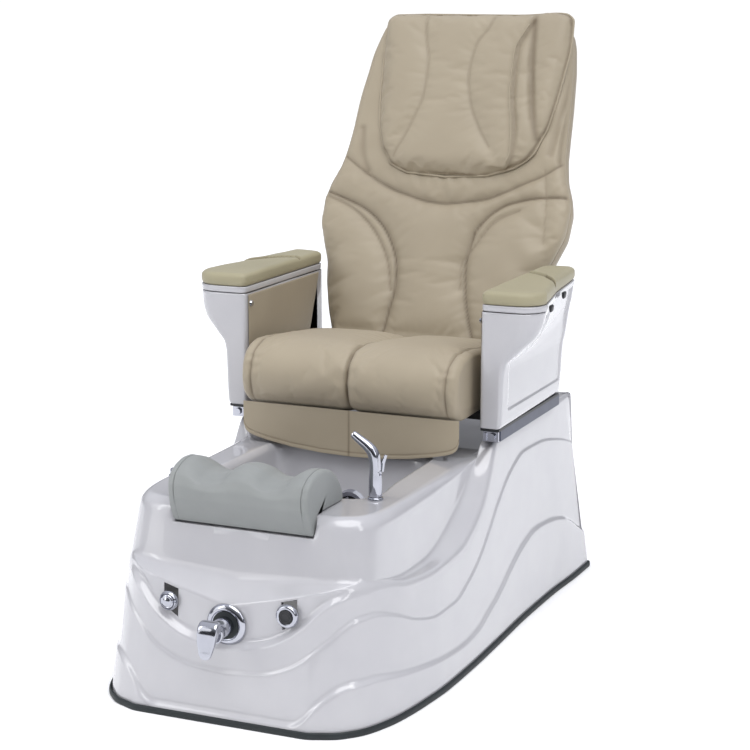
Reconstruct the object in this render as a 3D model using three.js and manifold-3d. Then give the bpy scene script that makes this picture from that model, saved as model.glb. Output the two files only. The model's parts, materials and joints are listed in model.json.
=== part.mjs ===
// Pedicure spa chair: moulded foot-bath base, seat on runners, reclining massage back.
// Millimetres, +X to the viewer's right when facing the foot bath, -Y to the front, +Z up.
import * as THREE from "three";
import { mergeVertices } from "three/addons/utils/BufferGeometryUtils.js";
import Module from "manifold-3d";

const wasm = await Module();
wasm.setup();
const { Manifold } = wasm;

// ---------------------------------------------------------------- driving dimensions
const DATUM_SHIFT_Y = 78; // moves the drawing datum so the origin is under the middle of the chair
const WALL = 8; // moulding thickness of the base
const TOP_Z = 479; // top of the pedestal
const RIM_Z = 440; // foot-bath rim and deck under the seat
const BOWL_FLOOR_Z = 182;
const TRIM_HEIGHT = 15;
const ARM_INNER_X = 304;
const ARM_BOTTOM_Z = 512;
const ARM_TOP_Z = 787;
const SEAT_HALF_WIDTH = 277;
const BACK_LEAN = THREE.MathUtils.degToRad(27);
const BACK_PIVOT = [0, 309, 602];
const PAD_FRONT = -62; // front face of the back pad, measured from the pivot line
const GAP = 0.4; // working gap between neighbouring pieces

// ---------------------------------------------------------------- materials
const material = (color, roughness, metalness = 0) =>
  new THREE.MeshStandardMaterial({ color, roughness, metalness });
const GELCOAT = material(0xe9e9f1, 0.25);
const LEATHER = material(0xada388, 0.6);
const GREY_PAD = material(0x9a9d98, 0.6);
const CHROME = material(0xd5d8dc, 0.12, 1);
const STEEL = material(0x565b72, 0.4, 0.8);
const BLACK = material(0x1b1d1f, 0.6);
const RUBBER = material(0x14181a, 0.8);
const HOSE = material(0xb9bcc0, 0.5);

// ---------------------------------------------------------------- helpers
const chair = new THREE.Group();
chair.name = "pedicure_spa_chair";
const back = new THREE.Group();
back.name = "back_axes";
back.position.set(...BACK_PIVOT);
back.rotation.x = -BACK_LEAN;

const solidFromArrays = (vertices, triangles) => {
  const build = (triVerts) =>
    new Manifold(
      new wasm.Mesh({
        numProp: 3,
        vertProperties: new Float32Array(vertices),
        triVerts: new Uint32Array(triVerts),
      }),
    );
  const solid = build(triangles);
  if (solid.volume() > 0) return solid;
  const turned = [];
  for (let i = 0; i < triangles.length; i += 3) {
    turned.push(triangles[i], triangles[i + 2], triangles[i + 1]);
  }
  return build(turned);
};

const solidFrom = (geometry) => {
  const source = geometry.index ? geometry.toNonIndexed() : geometry;
  const bare = new THREE.BufferGeometry();
  bare.setAttribute("position", source.getAttribute("position"));
  const merged = mergeVertices(bare, 1e-3);
  return solidFromArrays(merged.attributes.position.array, [...merged.index.array]);
};

const addPart = (name, solid, mat, parent = chair) => {
  const mesh = solid.getMesh();
  const geometry = new THREE.BufferGeometry();
  const positions = new Float32Array(mesh.numVert * 3);
  for (let i = 0; i < mesh.numVert; i++) {
    positions.set(mesh.vertProperties.subarray(i * mesh.numProp, i * mesh.numProp + 3), i * 3);
  }
  geometry.setAttribute("position", new THREE.BufferAttribute(positions, 3));
  geometry.setIndex(new THREE.BufferAttribute(new Uint32Array(mesh.triVerts), 1));
  geometry.computeVertexNormals();
  const part = new THREE.Mesh(geometry, mat);
  part.name = name;
  parent.add(part);
};

// A closed solid through equal rings of points; the end rings are capped with a fan.
const loft = (rings, loop = false) => {
  const n = rings[0].length;
  const vertices = rings.flat(2);
  const triangles = [];
  const bands = loop ? rings.length : rings.length - 1;
  for (let r = 0; r < bands; r++) {
    const a = r * n;
    const b = ((r + 1) % rings.length) * n;
    for (let k = 0; k < n; k++) {
      const next = (k + 1) % n;
      triangles.push(a + k, a + next, b + next, a + k, b + next, b + k);
    }
  }
  if (!loop) {
    [[0, 1], [(rings.length - 1) * n, -1]].forEach(([start, side]) => {
      const centre = vertices.length / 3;
      const mean = [0, 1, 2].map((axis) => {
        let sum = 0;
        for (let k = 0; k < n; k++) sum += vertices[(start + k) * 3 + axis];
        return sum / n;
      });
      vertices.push(...mean);
      for (let k = 0; k < n; k++) {
        const next = (k + 1) % n;
        if (side > 0) triangles.push(start + next, start + k, centre);
        else triangles.push(start + k, start + next, centre);
      }
    });
  }
  return solidFromArrays(vertices, triangles);
};

const box = (x0, x1, y0, y1, z0, z1) =>
  Manifold.cube([x1 - x0, y1 - y0, z1 - z0]).translate([x0, y0, z0]);

// A round bar between two values of one axis, centred on the other two.
const rod = (axis, from, to, centre, radius, radiusEnd = radius, sides = 24) => {
  let solid = Manifold.cylinder(to - from, radius, radiusEnd, sides);
  if (axis === "x") solid = solid.rotate([0, 90, 0]).translate([from, centre[0], centre[1]]);
  if (axis === "y") solid = solid.rotate([-90, 0, 0]).translate([centre[0], from, centre[1]]);
  if (axis === "z") solid = solid.translate([centre[0], centre[1], from]);
  return solid;
};

// A round section swept along a polyline, with one radius per point.
const sweep = (points, radii, sides = 12) => {
  const path = points.map((p) => new THREE.Vector3(...p));
  let side = null;
  const rings = path.map((p, i) => {
    const before = path[Math.max(i - 1, 0)];
    const after = path[Math.min(i + 1, path.length - 1)];
    const along = after.clone().sub(before).normalize();
    if (!side) side = Math.abs(along.x) < 0.9 ? new THREE.Vector3(1, 0, 0) : new THREE.Vector3(0, 1, 0);
    side = side.clone().sub(along.clone().multiplyScalar(side.dot(along))).normalize();
    const up = along.clone().cross(side);
    const radius = Array.isArray(radii) ? radii[i] : radii;
    return Array.from({ length: sides }, (_, k) => {
      const angle = (2 * Math.PI * k) / sides;
      const v = p.clone();
      v.addScaledVector(side, radius * Math.cos(angle));
      v.addScaledVector(up, radius * Math.sin(angle));
      return v.toArray();
    });
  });
  return loft(rings);
};

// A profile of [y, z] points extruded between two values of x.
const plateX = (profile, x0, x1) => {
  const shape = new THREE.Shape(profile.map(([y, z]) => new THREE.Vector2(y, z)));
  const geometry = new THREE.ExtrudeGeometry(shape, { depth: x1 - x0, bevelEnabled: false });
  const turn = new THREE.Matrix4().makeBasis(
    new THREE.Vector3(0, 1, 0),
    new THREE.Vector3(0, 0, 1),
    new THREE.Vector3(1, 0, 0),
  );
  geometry.applyMatrix4(turn);
  return solidFrom(geometry).translate([x0, 0, 0]);
};

// Plan outline points kept at a distance inside the ring they come from.
const insetRing = (ring, distances) => {
  const n = ring.length;
  return ring.map((p, k) => {
    const a = ring[(k + n - 1) % n];
    const b = ring[(k + 1) % n];
    const tangent = [b[0] - a[0], b[1] - a[1]];
    const size = Math.hypot(...tangent) || 1;
    const distance = Array.isArray(distances) ? distances[k] : distances;
    return [p[0] - (tangent[1] / size) * distance, p[1] + (tangent[0] / size) * distance, p[2]];
  });
};
const atHeight = (ring, z) => ring.map((p, k) => [p[0], p[1], Array.isArray(z) ? z[k] : z]);
const mirrorX = (solid) => solid.mirror([1, 0, 0]);
const mixRings = (a, b, t) => a.map((p, k) => p.map((v, j) => v + (b[k][j] - v) * t));

// ---------------------------------------------------------------- base moulding outlines
// Every outline is read along the same fan of rays from this point, front to back.
const FAN_Y = -330;
const FAN_ANGLES = [
  0, 7, 14, 20, 24.8, 28.5, 31.9, 35, 38.5, 42, 46, 51, 57, 63, 70, 78, 87, 96, 103, 109, 115.8,
  119.5, 122.6, 125, 127, 129, 131, 135.5, 140, 144, 149, 154, 156.9, 158.8, 160.2, 165, 172, 180,
];
const FLOOR_LINE = [
  [0, -828, 2], [200, -828, 2], [231, -817, 2], [259, -805, 2], [282, -785, 2], [303, -760, 2],
  [320, -725, 2], [340, -663, 2], [357, -560, 2], [368, -435, 2], [370, -283, 2], [367, -107, 2],
  [363, 81, 2], [365, 272, 2], [374, 444, 2], [376, 550, 2], [0, 550, 2],
];
const CROWN_LINE = [
  [0, -747, 479], [185, -745, 479], [215, -738, 479], [245, -722, 479], [270, -700, 479],
  [296, -668, 479], [318, -620, 479], [335, -560, 479], [345, -435, 479], [347, -283, 479],
  [346, -71, 479], [344, 81, 479], [343, 272, 479], [341, 440, 479], [338, 520, 479], [0, 520, 479],
];
const LEDGE_LINE = [
  [0, -785, 248], [123, -784, 277], [190, -778, 294], [245, -764, 304], [280, -742, 308],
  [312, -700, 309], [330, -655, 302], [342, -590, 287], [352, -460, 277], [352, -325, 284],
  [350, -246, 308], [349, -171, 349], [347, -107, 417], [346, -78, 462], [345, -66, 479],
  [343, 81, 479], [341, 272, 479], [338, 520, 479], [0, 520, 479],
];
const TUB_FOOT_LINE = [
  [0, -733, 298], [185, -731, 307], [235, -724, 312], [265, -708, 315], [288, -684, 313],
  [302, -650, 306], [308, -600, 296], [310, -552, 290], [309, -445, 289], [306, -360, 303],
  [304, -309, 322], [302, -210, 367], [300, -142, 410], [299, -97, 437], [298, -78, 472],
  [298, -60, 479], [298, 474, 479], [0, 474, 479],
];
const RIM_LINE = [
  [0, -700, 440], [200, -700, 440], [237, -690, 440], [262, -672, 440], [280, -645, 440],
  [290, -600, 440], [294, -550, 440], [296, -300, 440], [297, -97, 440], [297, 473, 440],
  [0, 473, 440],
];
const BOWL_LINE = [
  [0, -540, 440], [154, -536, 440], [190, -522, 440], [210, -500, 440], [213, -460, 440],
  [205, -380, 440], [202, -250, 440], [200, -160, 440], [185, -138, 440], [150, -130, 440],
  [0, -130, 440],
];
const BOWL_FLOOR_LINE = [
  [0, -502, 190], [134, -500, 190], [166, -483, 190], [182, -446, 190], [180, -230, 190],
  [168, -184, 190], [130, -169, 190], [0, -167, 190],
];
const SMILE_LINE = [
  [0, -800, 163], [96, -800, 181], [130, -799, 196], [160, -798, 214], [192, -794, 240],
  [218, -785, 266], [250, -765, 286], [285, -738, 291], [330, -655, 284], [342, -590, 269],
  [352, -460, 257], [352, -325, 264], [350, -246, 288], [349, -171, 329], [347, -107, 397],
  [346, -78, 442], [345, -66, 461], [338, 520, 462], [0, 520, 462],
];
const MID_WAVE_LINE = [
  [0, -812, 110], [94, -812, 118], [150, -811, 137], [180, -808, 155], [207, -802, 175],
  [235, -792, 197], [262, -775, 219], [286, -745, 237], [310, -700, 242], [330, -635, 226],
  [346, -550, 194], [356, -454, 176], [358, -363, 177], [358, -280, 201], [357, -216, 227],
  [355, -133, 280], [353, -59, 335], [350, 32, 385], [349, 130, 411], [348, 242, 407],
  [347, 405, 377], [346, 530, 335], [0, 535, 335],
];
const LOW_WAVE_LINE = [
  [0, -826, 20], [165, -826, 20], [190, -822, 34], [212, -815, 59], [240, -806, 84],
  [275, -782, 104], [315, -725, 108], [345, -632, 96], [360, -527, 83], [366, -424, 73],
  [368, -336, 68], [367, -237, 76], [366, -170, 94], [364, -98, 114], [362, -7, 149],
  [360, 94, 183], [360, 191, 200], [360, 293, 193], [364, 386, 176], [370, 446, 156],
  [375, 520, 118], [376, 545, 104], [0, 550, 104],
];

const fanAngle = ([x, y]) => THREE.MathUtils.radToDeg(Math.atan2(x, FAN_Y - y));

// The point of a front-to-back half outline that lies on one ray of the fan.
const readLine = (line, degrees) => {
  const angles = line.map(fanAngle);
  let i = 0;
  while (i < line.length - 2 && angles[i + 1] < degrees) i++;
  const [a, b] = [line[i], line[i + 1]];
  const ray = [Math.sin(THREE.MathUtils.degToRad(degrees)), -Math.cos(THREE.MathUtils.degToRad(degrees))];
  const edge = [b[0] - a[0], b[1] - a[1]];
  const start = [a[0], a[1] - FAN_Y];
  const cross = ray[0] * edge[1] - ray[1] * edge[0];
  const along = (start[0] * edge[1] - start[1] * edge[0]) / cross;
  const part = (start[0] * ray[1] - start[1] * ray[0]) / cross;
  return [ray[0] * along, FAN_Y + ray[1] * along, a[2] + (b[2] - a[2]) * part];
};

// A full ring, right half front to back and then the left half back to front.
const ringOf = (line) => {
  const right = FAN_ANGLES.map((angle) => readLine(line, angle));
  const left = right.slice(1, -1).map(([x, y, z]) => [-x, y, z]).reverse();
  return [...right, ...left];
};

const floorRing = ringOf(FLOOR_LINE);
const crownRing = ringOf(CROWN_LINE);
const heights = (line) => ringOf(line).map((p) => p[2]);

// The tapering skirt at a height that may change round the ring, set in by a distance.
const skirtRing = (z, inset) => {
  const ring = floorRing.map((p, k) => {
    const height = Array.isArray(z) ? z[k] : z;
    const t = (height - 2) / (TOP_Z - 2);
    return [p[0] + (crownRing[k][0] - p[0]) * t, p[1] + (crownRing[k][1] - p[1]) * t, height];
  });
  return insetRing(ring, inset);
};
const add = (list, amount) => list.map((v, k) => v + (Array.isArray(amount) ? amount[k] : amount));

const lowZ = heights(LOW_WAVE_LINE);
const midZ = heights(MID_WAVE_LINE);
const smileZ = heights(SMILE_LINE);
const ledgeZ = heights(LEDGE_LINE);
const frontWeight = [...FAN_ANGLES, ...FAN_ANGLES.slice(1, -1).reverse()].map((a) =>
  THREE.MathUtils.clamp((34 - a) / 8, 0, 1),
);
const tubFoot = ringOf(TUB_FOOT_LINE);
const rim = ringOf(RIM_LINE);
const bowl = ringOf(BOWL_LINE);
const bowlFloor = ringOf(BOWL_FLOOR_LINE);

const outerRings = [
  skirtRing(2, 0),
  skirtRing(add(lowZ, -4), 0),
  skirtRing(add(lowZ, 4), 7),
  skirtRing(add(midZ, -4), 7),
  skirtRing(add(midZ, 3), 10),
  skirtRing(add(smileZ, -6), frontWeight.map((w) => 10 - 12 * w)),
  skirtRing(add(smileZ, 6), frontWeight.map((w) => 11 + 3 * w)),
  skirtRing(ledgeZ, frontWeight.map((w) => 15 - 13 * w)),
  tubFoot,
  mixRings(tubFoot, rim, 0.88),
  atHeight(insetRing(rim, 13), RIM_Z),
  atHeight(insetRing(bowl, -8), RIM_Z),
  atHeight(insetRing(bowl, 3), RIM_Z - 11),
  mixRings(bowl, bowlFloor, 0.96),
  atHeight(insetRing(bowlFloor, 9), BOWL_FLOOR_Z),
];
// Which way the moulding's underside lies: inside the tub wall, outside the pedestal step.
const underSide = tubFoot.map((p) => THREE.MathUtils.clamp((447 - p[2]) / 8, -1, 1) * WALL);
const innerRings = [
  skirtRing(-6, WALL + 4),
  skirtRing(add(midZ, 0), WALL + 10),
  skirtRing(add(smileZ, 0), frontWeight.map((w) => WALL + 11 + 3 * w)),
  skirtRing(add(ledgeZ, -WALL), frontWeight.map((w) => WALL + 15 - 9 * w)),
  insetRing(tubFoot, underSide).map((p) => [p[0], p[1], p[2] - WALL]),
  insetRing(mixRings(tubFoot, rim, 0.88), underSide).map((p) => [p[0], p[1], p[2] - WALL]),
  atHeight(insetRing(rim, 13 + WALL), RIM_Z - WALL),
  atHeight(insetRing(bowl, -8 - WALL), RIM_Z - WALL),
  atHeight(insetRing(bowl, -6), RIM_Z - 11 - WALL),
  mixRings(insetRing(bowl, -WALL), insetRing(bowlFloor, -WALL), 0.98),
  atHeight(insetRing(bowlFloor, 6), BOWL_FLOOR_Z - WALL),
];
let outer = loft(outerRings);
let inner = loft(innerRings);

// ---------------------------------------------------------------- recesses and holes in the base
const NOTCH_X = 168; // half-width of the step that locates the footrest's front lip
const NOTCH_Z = 396;
const PANEL_Y = -786; // flat seats of the controls on the front panel
const MIXER = [0, 208];
const BUTTONS = [
  { side: "left", at: [-138, 243], flange: 22, cap: 16 },
  { side: "right", at: [143, 246], flange: 26, cap: 15 },
];
const SPRAY = [228, -525];
const KNOB = [-264, -527];
const DRAIN = [0, -330];
const JET = [0, 300];
const JET_Y = -140;
const REAR_SEAT_Y = 543;
const INLET_X = 140;
const INLET_Z = 82;
const POWER = [262, 76];

outer = outer.subtract(box(-NOTCH_X, NOTCH_X, -780, -692, NOTCH_Z, 500));
inner = inner.subtract(box(-NOTCH_X - WALL, NOTCH_X + WALL, -780, -692 + WALL, NOTCH_Z - WALL, 500));

const seatPocket = (centre, radius) => rod("y", -840, PANEL_Y, centre, radius);
outer = outer.subtract(seatPocket(MIXER, 47.5));
BUTTONS.forEach((b) => {
  outer = outer.subtract(seatPocket(b.at, b.flange + 1.5));
  inner = inner.subtract(rod("y", -840, PANEL_Y + 6, b.at, b.flange + 8));
});
inner = inner.subtract(rod("y", -840, PANEL_Y + 6, MIXER, 54));
outer = outer.subtract(rod("y", -260, JET_Y, JET, 46));
inner = inner.subtract(rod("y", -260, JET_Y + WALL, JET, 54));
const rearSeats = [
  box(POWER[0] - 34, POWER[0] + 34, REAR_SEAT_Y, 600, POWER[1] - 24, POWER[1] + 24),
  ...[-1, 1].map((s) => rod("y", REAR_SEAT_Y, 600, [s * INLET_X, INLET_Z], 17)),
  rod("y", REAR_SEAT_Y, 600, [0, 60], 27),
];
rearSeats.forEach((s) => {
  outer = outer.subtract(s);
});

let base = outer.subtract(inner);
const baseHoles = [
  rod("y", -800, -740, MIXER, 22),
  ...BUTTONS.map((b) => rod("y", -800, -740, b.at, 12)),
  rod("z", 400, 460, SPRAY, 13.5),
  rod("z", 400, 460, KNOB, 6.4),
  rod("z", 150, 200, DRAIN, 20.6),
  rod("y", -170, -120, JET, 29.8),
  ...[-1, 1].map((s) => rod("y", 500, 560, [s * INLET_X, INLET_Z], 10.6)),
  rod("y", 500, 560, [0, 60], 21.5),
  box(POWER[0] - 24, POWER[0] + 24, 500, 560, POWER[1] - 14, POWER[1] + 14),
];
baseHoles.forEach((hole) => {
  base = base.subtract(hole);
});
addPart("base_shell", base, GELCOAT);

const trimRing = (inset, z) => atHeight(insetRing(floorRing, inset), z);
addPart(
  "base_trim",
  loft(
    [
      trimRing(-5, 0),
      trimRing(-5, TRIM_HEIGHT - 3),
      trimRing(-3, TRIM_HEIGHT),
      trimRing(-1.2, TRIM_HEIGHT),
      trimRing(-0.8, 1.6),
      trimRing(13, 1.6),
      trimRing(13, 0),
    ],
    true,
  ),
  RUBBER,
);

// ---------------------------------------------------------------- bath fittings
const drainBody = rod("z", BOWL_FLOOR_Z + GAP, BOWL_FLOOR_Z + 4, DRAIN, 31, 28, 32)
  .add(rod("z", 118, BOWL_FLOOR_Z + 2, DRAIN, 20, 20, 32))
  .subtract(rod("z", 100, 200, DRAIN, 17, 17, 32));
addPart("drain_body", drainBody, CHROME);
const stopper = rod("z", BOWL_FLOOR_Z + 4.4, BOWL_FLOOR_Z + 9, DRAIN, 21, 17, 32)
  .add(rod("z", 128, BOWL_FLOOR_Z + 6, DRAIN, 4, 4, 12));
addPart("drain_stopper", stopper, CHROME);
const drainPath = [
  [0, -330, 116], [0, -330, 92], [0, -322, 72], [0, -300, 60], [0, -200, 58], [0, 300, 58], [0, 566, 60],
];
const drainBore = sweep(drainPath, 17)
  .add(rod("z", 100, 130, DRAIN, 17, 17, 12))
  .add(rod("y", 540, 580, [0, 60], 17, 17, 12));
addPart("drain_pipe", sweep(drainPath, 21).subtract(drainBore), HOSE);

const jetRing = rod("y", JET_Y - 20, JET_Y - GAP, JET, 40, 45, 28)
  .subtract(rod("y", JET_Y - 40, JET_Y + 10, JET, 31, 31, 28));
addPart("jet_ring", jetRing, CHROME);
const jetMotor = rod("y", JET_Y - 2, -100, JET, 29.4, 29.4, 28)
  .add(rod("y", -130, 10, JET, 45, 45, 20))
  .add(box(-30, 30, -110, -10, 250, 262))
  .subtract(rod("y", -150, -60, JET, 5.08, 5.08, 20));
addPart("jet_motor", jetMotor, BLACK);
let impeller = rod("y", -152, -146, JET, 12, 12, 20).add(rod("y", -148, -66, JET, 5, 5, 20));
for (let k = 0; k < 3; k++) {
  const blade = box(0, 26, -2.2, 2.2, -5, 5).rotate([28, 0, 0]);
  impeller = impeller.add(blade.rotate([0, 120 * k, 0]).translate([JET[0], -149, JET[1]]));
}
addPart("jet_impeller", impeller, CHROME);

const holder = rod("z", RIM_Z + GAP, RIM_Z + 6, SPRAY, 17.5, 15.5)
  .add(rod("z", 412, RIM_Z + 2, SPRAY, 13, 13))
  .subtract(rod("z", 400, 460, SPRAY, 10.3, 10.3));
addPart("spray_holder", holder, CHROME);
const [sx, sy] = SPRAY;
const handset = sweep(
  [
    [sx, sy, 424], [sx, sy, 446.8], [sx, sy, 447.2], [sx, sy, 458], [sx, sy, 500], [sx, sy, 524],
    [sx - 3, sy, 540], [sx - 12, sy, 552], [sx - 30, sy, 565], [sx - 46, sy, 576], [sx - 52, sy, 580],
  ],
  [10, 10, 15, 12, 13, 13.5, 14, 13, 11, 9.5, 8],
  16,
);
const triggerSlot = box(sx + 9, sx + 30, sy - 6, sy + 6, 500, 560);
addPart("spray_handset", handset.subtract(triggerSlot), CHROME);
addPart(
  "spray_trigger",
  sweep([[sx + 16, sy, 504], [sx + 18, sy, 524], [sx + 25, sy, 542]], [3.4, 4.4, 3.2], 10),
  CHROME,
);
const knob = rod("z", RIM_Z + GAP, RIM_Z + 5, KNOB, 15, 13.5)
  .add(rod("z", RIM_Z + 4, RIM_Z + 19, KNOB, 12, 10))
  .add(box(-3, 3, -11, 11, 0, 5).translate([KNOB[0], KNOB[1], RIM_Z + 17]))
  .add(rod("z", 420, RIM_Z + 4, KNOB, 6, 6));
addPart("rim_knob", knob, CHROME);

// ---------------------------------------------------------------- front controls
const escutcheon = rod("y", PANEL_Y - 9, PANEL_Y - GAP, MIXER, 34, 46, 36)
  .subtract(rod("y", PANEL_Y - 30, PANEL_Y + 10, MIXER, 21, 21, 36));
addPart("mixer_escutcheon", escutcheon, CHROME);
const mixerBody = rod("y", -838, -740, MIXER, 20.6, 20.6, 32)
  .add(box(-34, 34, -768, -722, MIXER[1] - 26, MIXER[1] + 26));
addPart("mixer_body", mixerBody, CHROME);
const hub = rod("y", -850.4, -838.4, MIXER, 23, 24, 32);
addPart("mixer_hub", hub, CHROME);
const lever = plateX(
  [
    [-851, 236], [-860, 239], [-867, 236], [-874, 226], [-880, 204], [-885, 176], [-886, 163],
    [-882, 160], [-878, 164], [-874, 184], [-867, 204], [-860, 210], [-851, 210],
  ],
  -23,
  23,
);
const leverTrim = rod("y", -900, -840, [0, 192], 33, 46, 32);
addPart("mixer_lever", lever.intersect(leverTrim), CHROME);

BUTTONS.forEach((b) => {
  const bezel = rod("y", PANEL_Y - 9, PANEL_Y - GAP, b.at, b.flange - 3, b.flange, 28)
    .subtract(rod("y", PANEL_Y - 30, PANEL_Y - 2.4, b.at, b.cap + 0.3, b.cap + 0.3, 28))
    .subtract(rod("y", PANEL_Y - 30, PANEL_Y + 10, b.at, 8.3, 8.3, 20));
  addPart("button_bezel_" + b.side, bezel, CHROME);
  const cap = rod("y", PANEL_Y - 12, PANEL_Y - 6.8, b.at, b.cap - 3, b.cap, 28)
    .add(rod("y", PANEL_Y - 8, PANEL_Y + 16, b.at, 8, 8, 20));
  addPart("button_" + b.side, cap, b.side === "left" ? CHROME : BLACK);
});

// ---------------------------------------------------------------- supply lines and rear fittings
[["cold", -1], ["hot", 1]].forEach(([name, s]) => {
  const inlet = rod("y", REAR_SEAT_Y + GAP, 550, [s * INLET_X, INLET_Z], 15.5, 15.5, 6)
    .add(rod("y", 512, 564, [s * INLET_X, INLET_Z], 10.2, 10.2, 24))
    .subtract(rod("y", 505, 570, [s * INLET_X, INLET_Z], 6.5, 6.5, 16));
  addPart("inlet_" + name, inlet, CHROME);
  const line = [
    [s * INLET_X, 511, INLET_Z], [s * INLET_X, 470, INLET_Z], [s * 200, 380, 66], [s * 250, 200, 50],
    [s * 262, -200, 46], [s * 250, -450, 50], [s * 170, -600, 90], [s * 60, -660, 170],
    [s * 20, -690, 208], [s * 18, -721, 208],
  ];
  addPart("supply_hose_" + name, sweep(line, 8, 8), HOSE);
});
const powerInlet = box(POWER[0] - 32, POWER[0] + 32, REAR_SEAT_Y + GAP, 549, POWER[1] - 22, POWER[1] + 22)
  .add(box(POWER[0] - 23, POWER[0] + 23, 505, 546, POWER[1] - 13, POWER[1] + 13))
  .subtract(box(POWER[0] - 14, POWER[0] + 14, 530, 560, POWER[1] - 9, POWER[1] + 9));
addPart("power_inlet", powerInlet, BLACK);

// ---------------------------------------------------------------- footrest
// The side profile and how far each of its points drops in the two troughs.
const FOOTREST_PROFILE = [
  [-556, 440.5, 0], [-688, 440.5, 0], [-693.5, 436, 0], [-693.5, 397, 0], [-721, 397, 0],
  [-730, 424, 0], [-738, 456, 0], [-739, 484, 8], [-726, 507, 18], [-702, 522, 26],
  [-672, 530, 28], [-640, 529, 27], [-612, 520, 24], [-586, 503, 18], [-566, 480, 10], [-554, 455, 2],
];
const FOOTREST_STATIONS = [
  [-166, 12, 0], [-158, 0, 0], [-138, 0, 0.02], [-116, 0, 0.35], [-94, 0, 0.85], [-74, 0, 1],
  [-52, 0, 0.85], [-28, 0, 0.3], [0, 0, 0.05],
];
const footrestStations = [
  ...FOOTREST_STATIONS,
  ...FOOTREST_STATIONS.slice(0, -1).reverse().map(([x, inset, trough]) => [-x, inset, trough]),
];
const footrestCentre = [-645, 470];
addPart(
  "footrest",
  loft(
    footrestStations.map(([x, inset, trough]) =>
      FOOTREST_PROFILE.map(([y, z, drop]) => {
        const reach = Math.hypot(y - footrestCentre[0], z - footrestCentre[1]);
        const keep = z < 441 ? 1 : 1 - inset / reach;
        return [
          x,
          footrestCentre[0] + (y - footrestCentre[0]) * keep,
          footrestCentre[1] + (z - footrestCentre[1]) * keep - drop * trough,
        ];
      }),
    ),
  ),
  GREY_PAD,
);

// ---------------------------------------------------------------- rails, seat frame, arms
const RAIL_X = [308, 350];
const RAIL_Y = [-74, 356];
const RAIL_Z = [TOP_Z + GAP, 505];
[["left", -1], ["right", 1]].forEach(([side, s]) => {
  const place = (solid) => (s > 0 ? solid : mirrorX(solid));
  const rail = box(RAIL_X[0], RAIL_X[1], ...RAIL_Y, ...RAIL_Z)
    .subtract(box(RAIL_X[0] + 5, RAIL_X[1] - 5, -100, 400, RAIL_Z[0] + 4, RAIL_Z[1] - 5))
    .subtract(box(322, 336, -100, 400, 490, 520));
  addPart("rail_" + side, place(rail), STEEL);
  const bracket = box(310, 348, -86, -74.4, RAIL_Z[0], 503)
    .add(box(314, 320, -90, -74.4, 483, 500))
    .add(rod("y", -93, -80, [333, 492], 8.5, 8.5, 16));
  addPart("rail_bracket_" + side, place(bracket), CHROME);
});

const ears = [
  [200, 506], [336, 506], [336, 604], [331, 620], [318, 630], [300, 630], [287, 620], [282, 604],
  [262, 545], [262, 526], [200, 526],
];
let seatFrame = box(-320, 320, 8, 40, 506, 526).add(box(-320, 320, 200, 228, 506, 526));
[-1, 1].forEach((s) => {
  const place = (solid) => (s > 0 ? solid : mirrorX(solid));
  seatFrame = seatFrame
    .add(place(box(306, 352, -92, 345, 505.4, 511.4)))
    .add(place(box(325, 333, 42, 340, 494, 506)))
    .add(place(box(316, 342, 42, 340, 486, 494.4)))
    .add(place(plateX(ears, 284, 290).subtract(rod("x", 270, 300, [BACK_PIVOT[1], BACK_PIVOT[2]], 8, 8, 40))));
});
seatFrame = seatFrame
  .subtract(box(303.6, 360, -100, 360, 511.4, 530))
  .subtract(box(-360, -303.6, -100, 360, 511.4, 530));
addPart("seat_frame", seatFrame, STEEL);

// Arm plan at one height: how far out the front, middle and rear reach, and the front corner cut.
const armRing = (z, front, middle, rear, corner, grow = 0) => {
  const y0 = -97 - grow;
  const y1 = 351 + grow;
  const x0 = ARM_INNER_X + Math.max(-grow, 0);
  return [
    [x0, y0, z], [x0, y1, z], [rear + grow - 8, y1, z], [rear + grow, y1 - 10, z],
    [middle + grow, 130, z], [front + grow, y0 + corner, z],
    [front + grow - corner * 0.08, y0 + corner * 0.6, z],
    [front + grow - corner * 0.3, y0 + corner * 0.28, z],
    [front + grow - corner * 0.62, y0 + corner * 0.07, z], [front + grow - corner, y0, z],
  ];
};
const ARM_SECTIONS = [
  [ARM_BOTTOM_Z, 352, 351, 348, 8], [ARM_BOTTOM_Z + 10, 358, 357, 354, 9], [640, 362, 362, 364, 10],
  [664, 366, 366, 367, 12], [690, 392, 376, 371, 22], [730, 428, 394, 377, 40],
  [ARM_TOP_Z, 444, 412, 387, 56],
];
const armOuter = loft(ARM_SECTIONS.map((s) => armRing(...s)));
const armInner = loft(
  ARM_SECTIONS.map((s, k) => {
    const z = k === 0 ? s[0] - 2 : k === ARM_SECTIONS.length - 1 ? s[0] - 4 : s[0];
    return armRing(z, s[1], s[2], s[3], s[4], -4);
  }),
);
const armShell = armOuter.subtract(armInner);
const lidRing = (z, grow) => armRing(z, 446, 414, 389, 57, grow);
const armLid = loft([lidRing(789, 0), lidRing(803.6, 0)]);
const armPad = loft([
  lidRing(804, -3), lidRing(810, 0), lidRing(824, 0), lidRing(832, -5), lidRing(837, -16),
]);
const armPanel = plateX([[-84, 545], [222, 545], [316, 780], [316, 784], [-84, 784]], 300.4, 303.6);
const armBolt = rod("x", 295.5, 300, [-74, 762], 6, 8, 16);
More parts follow.
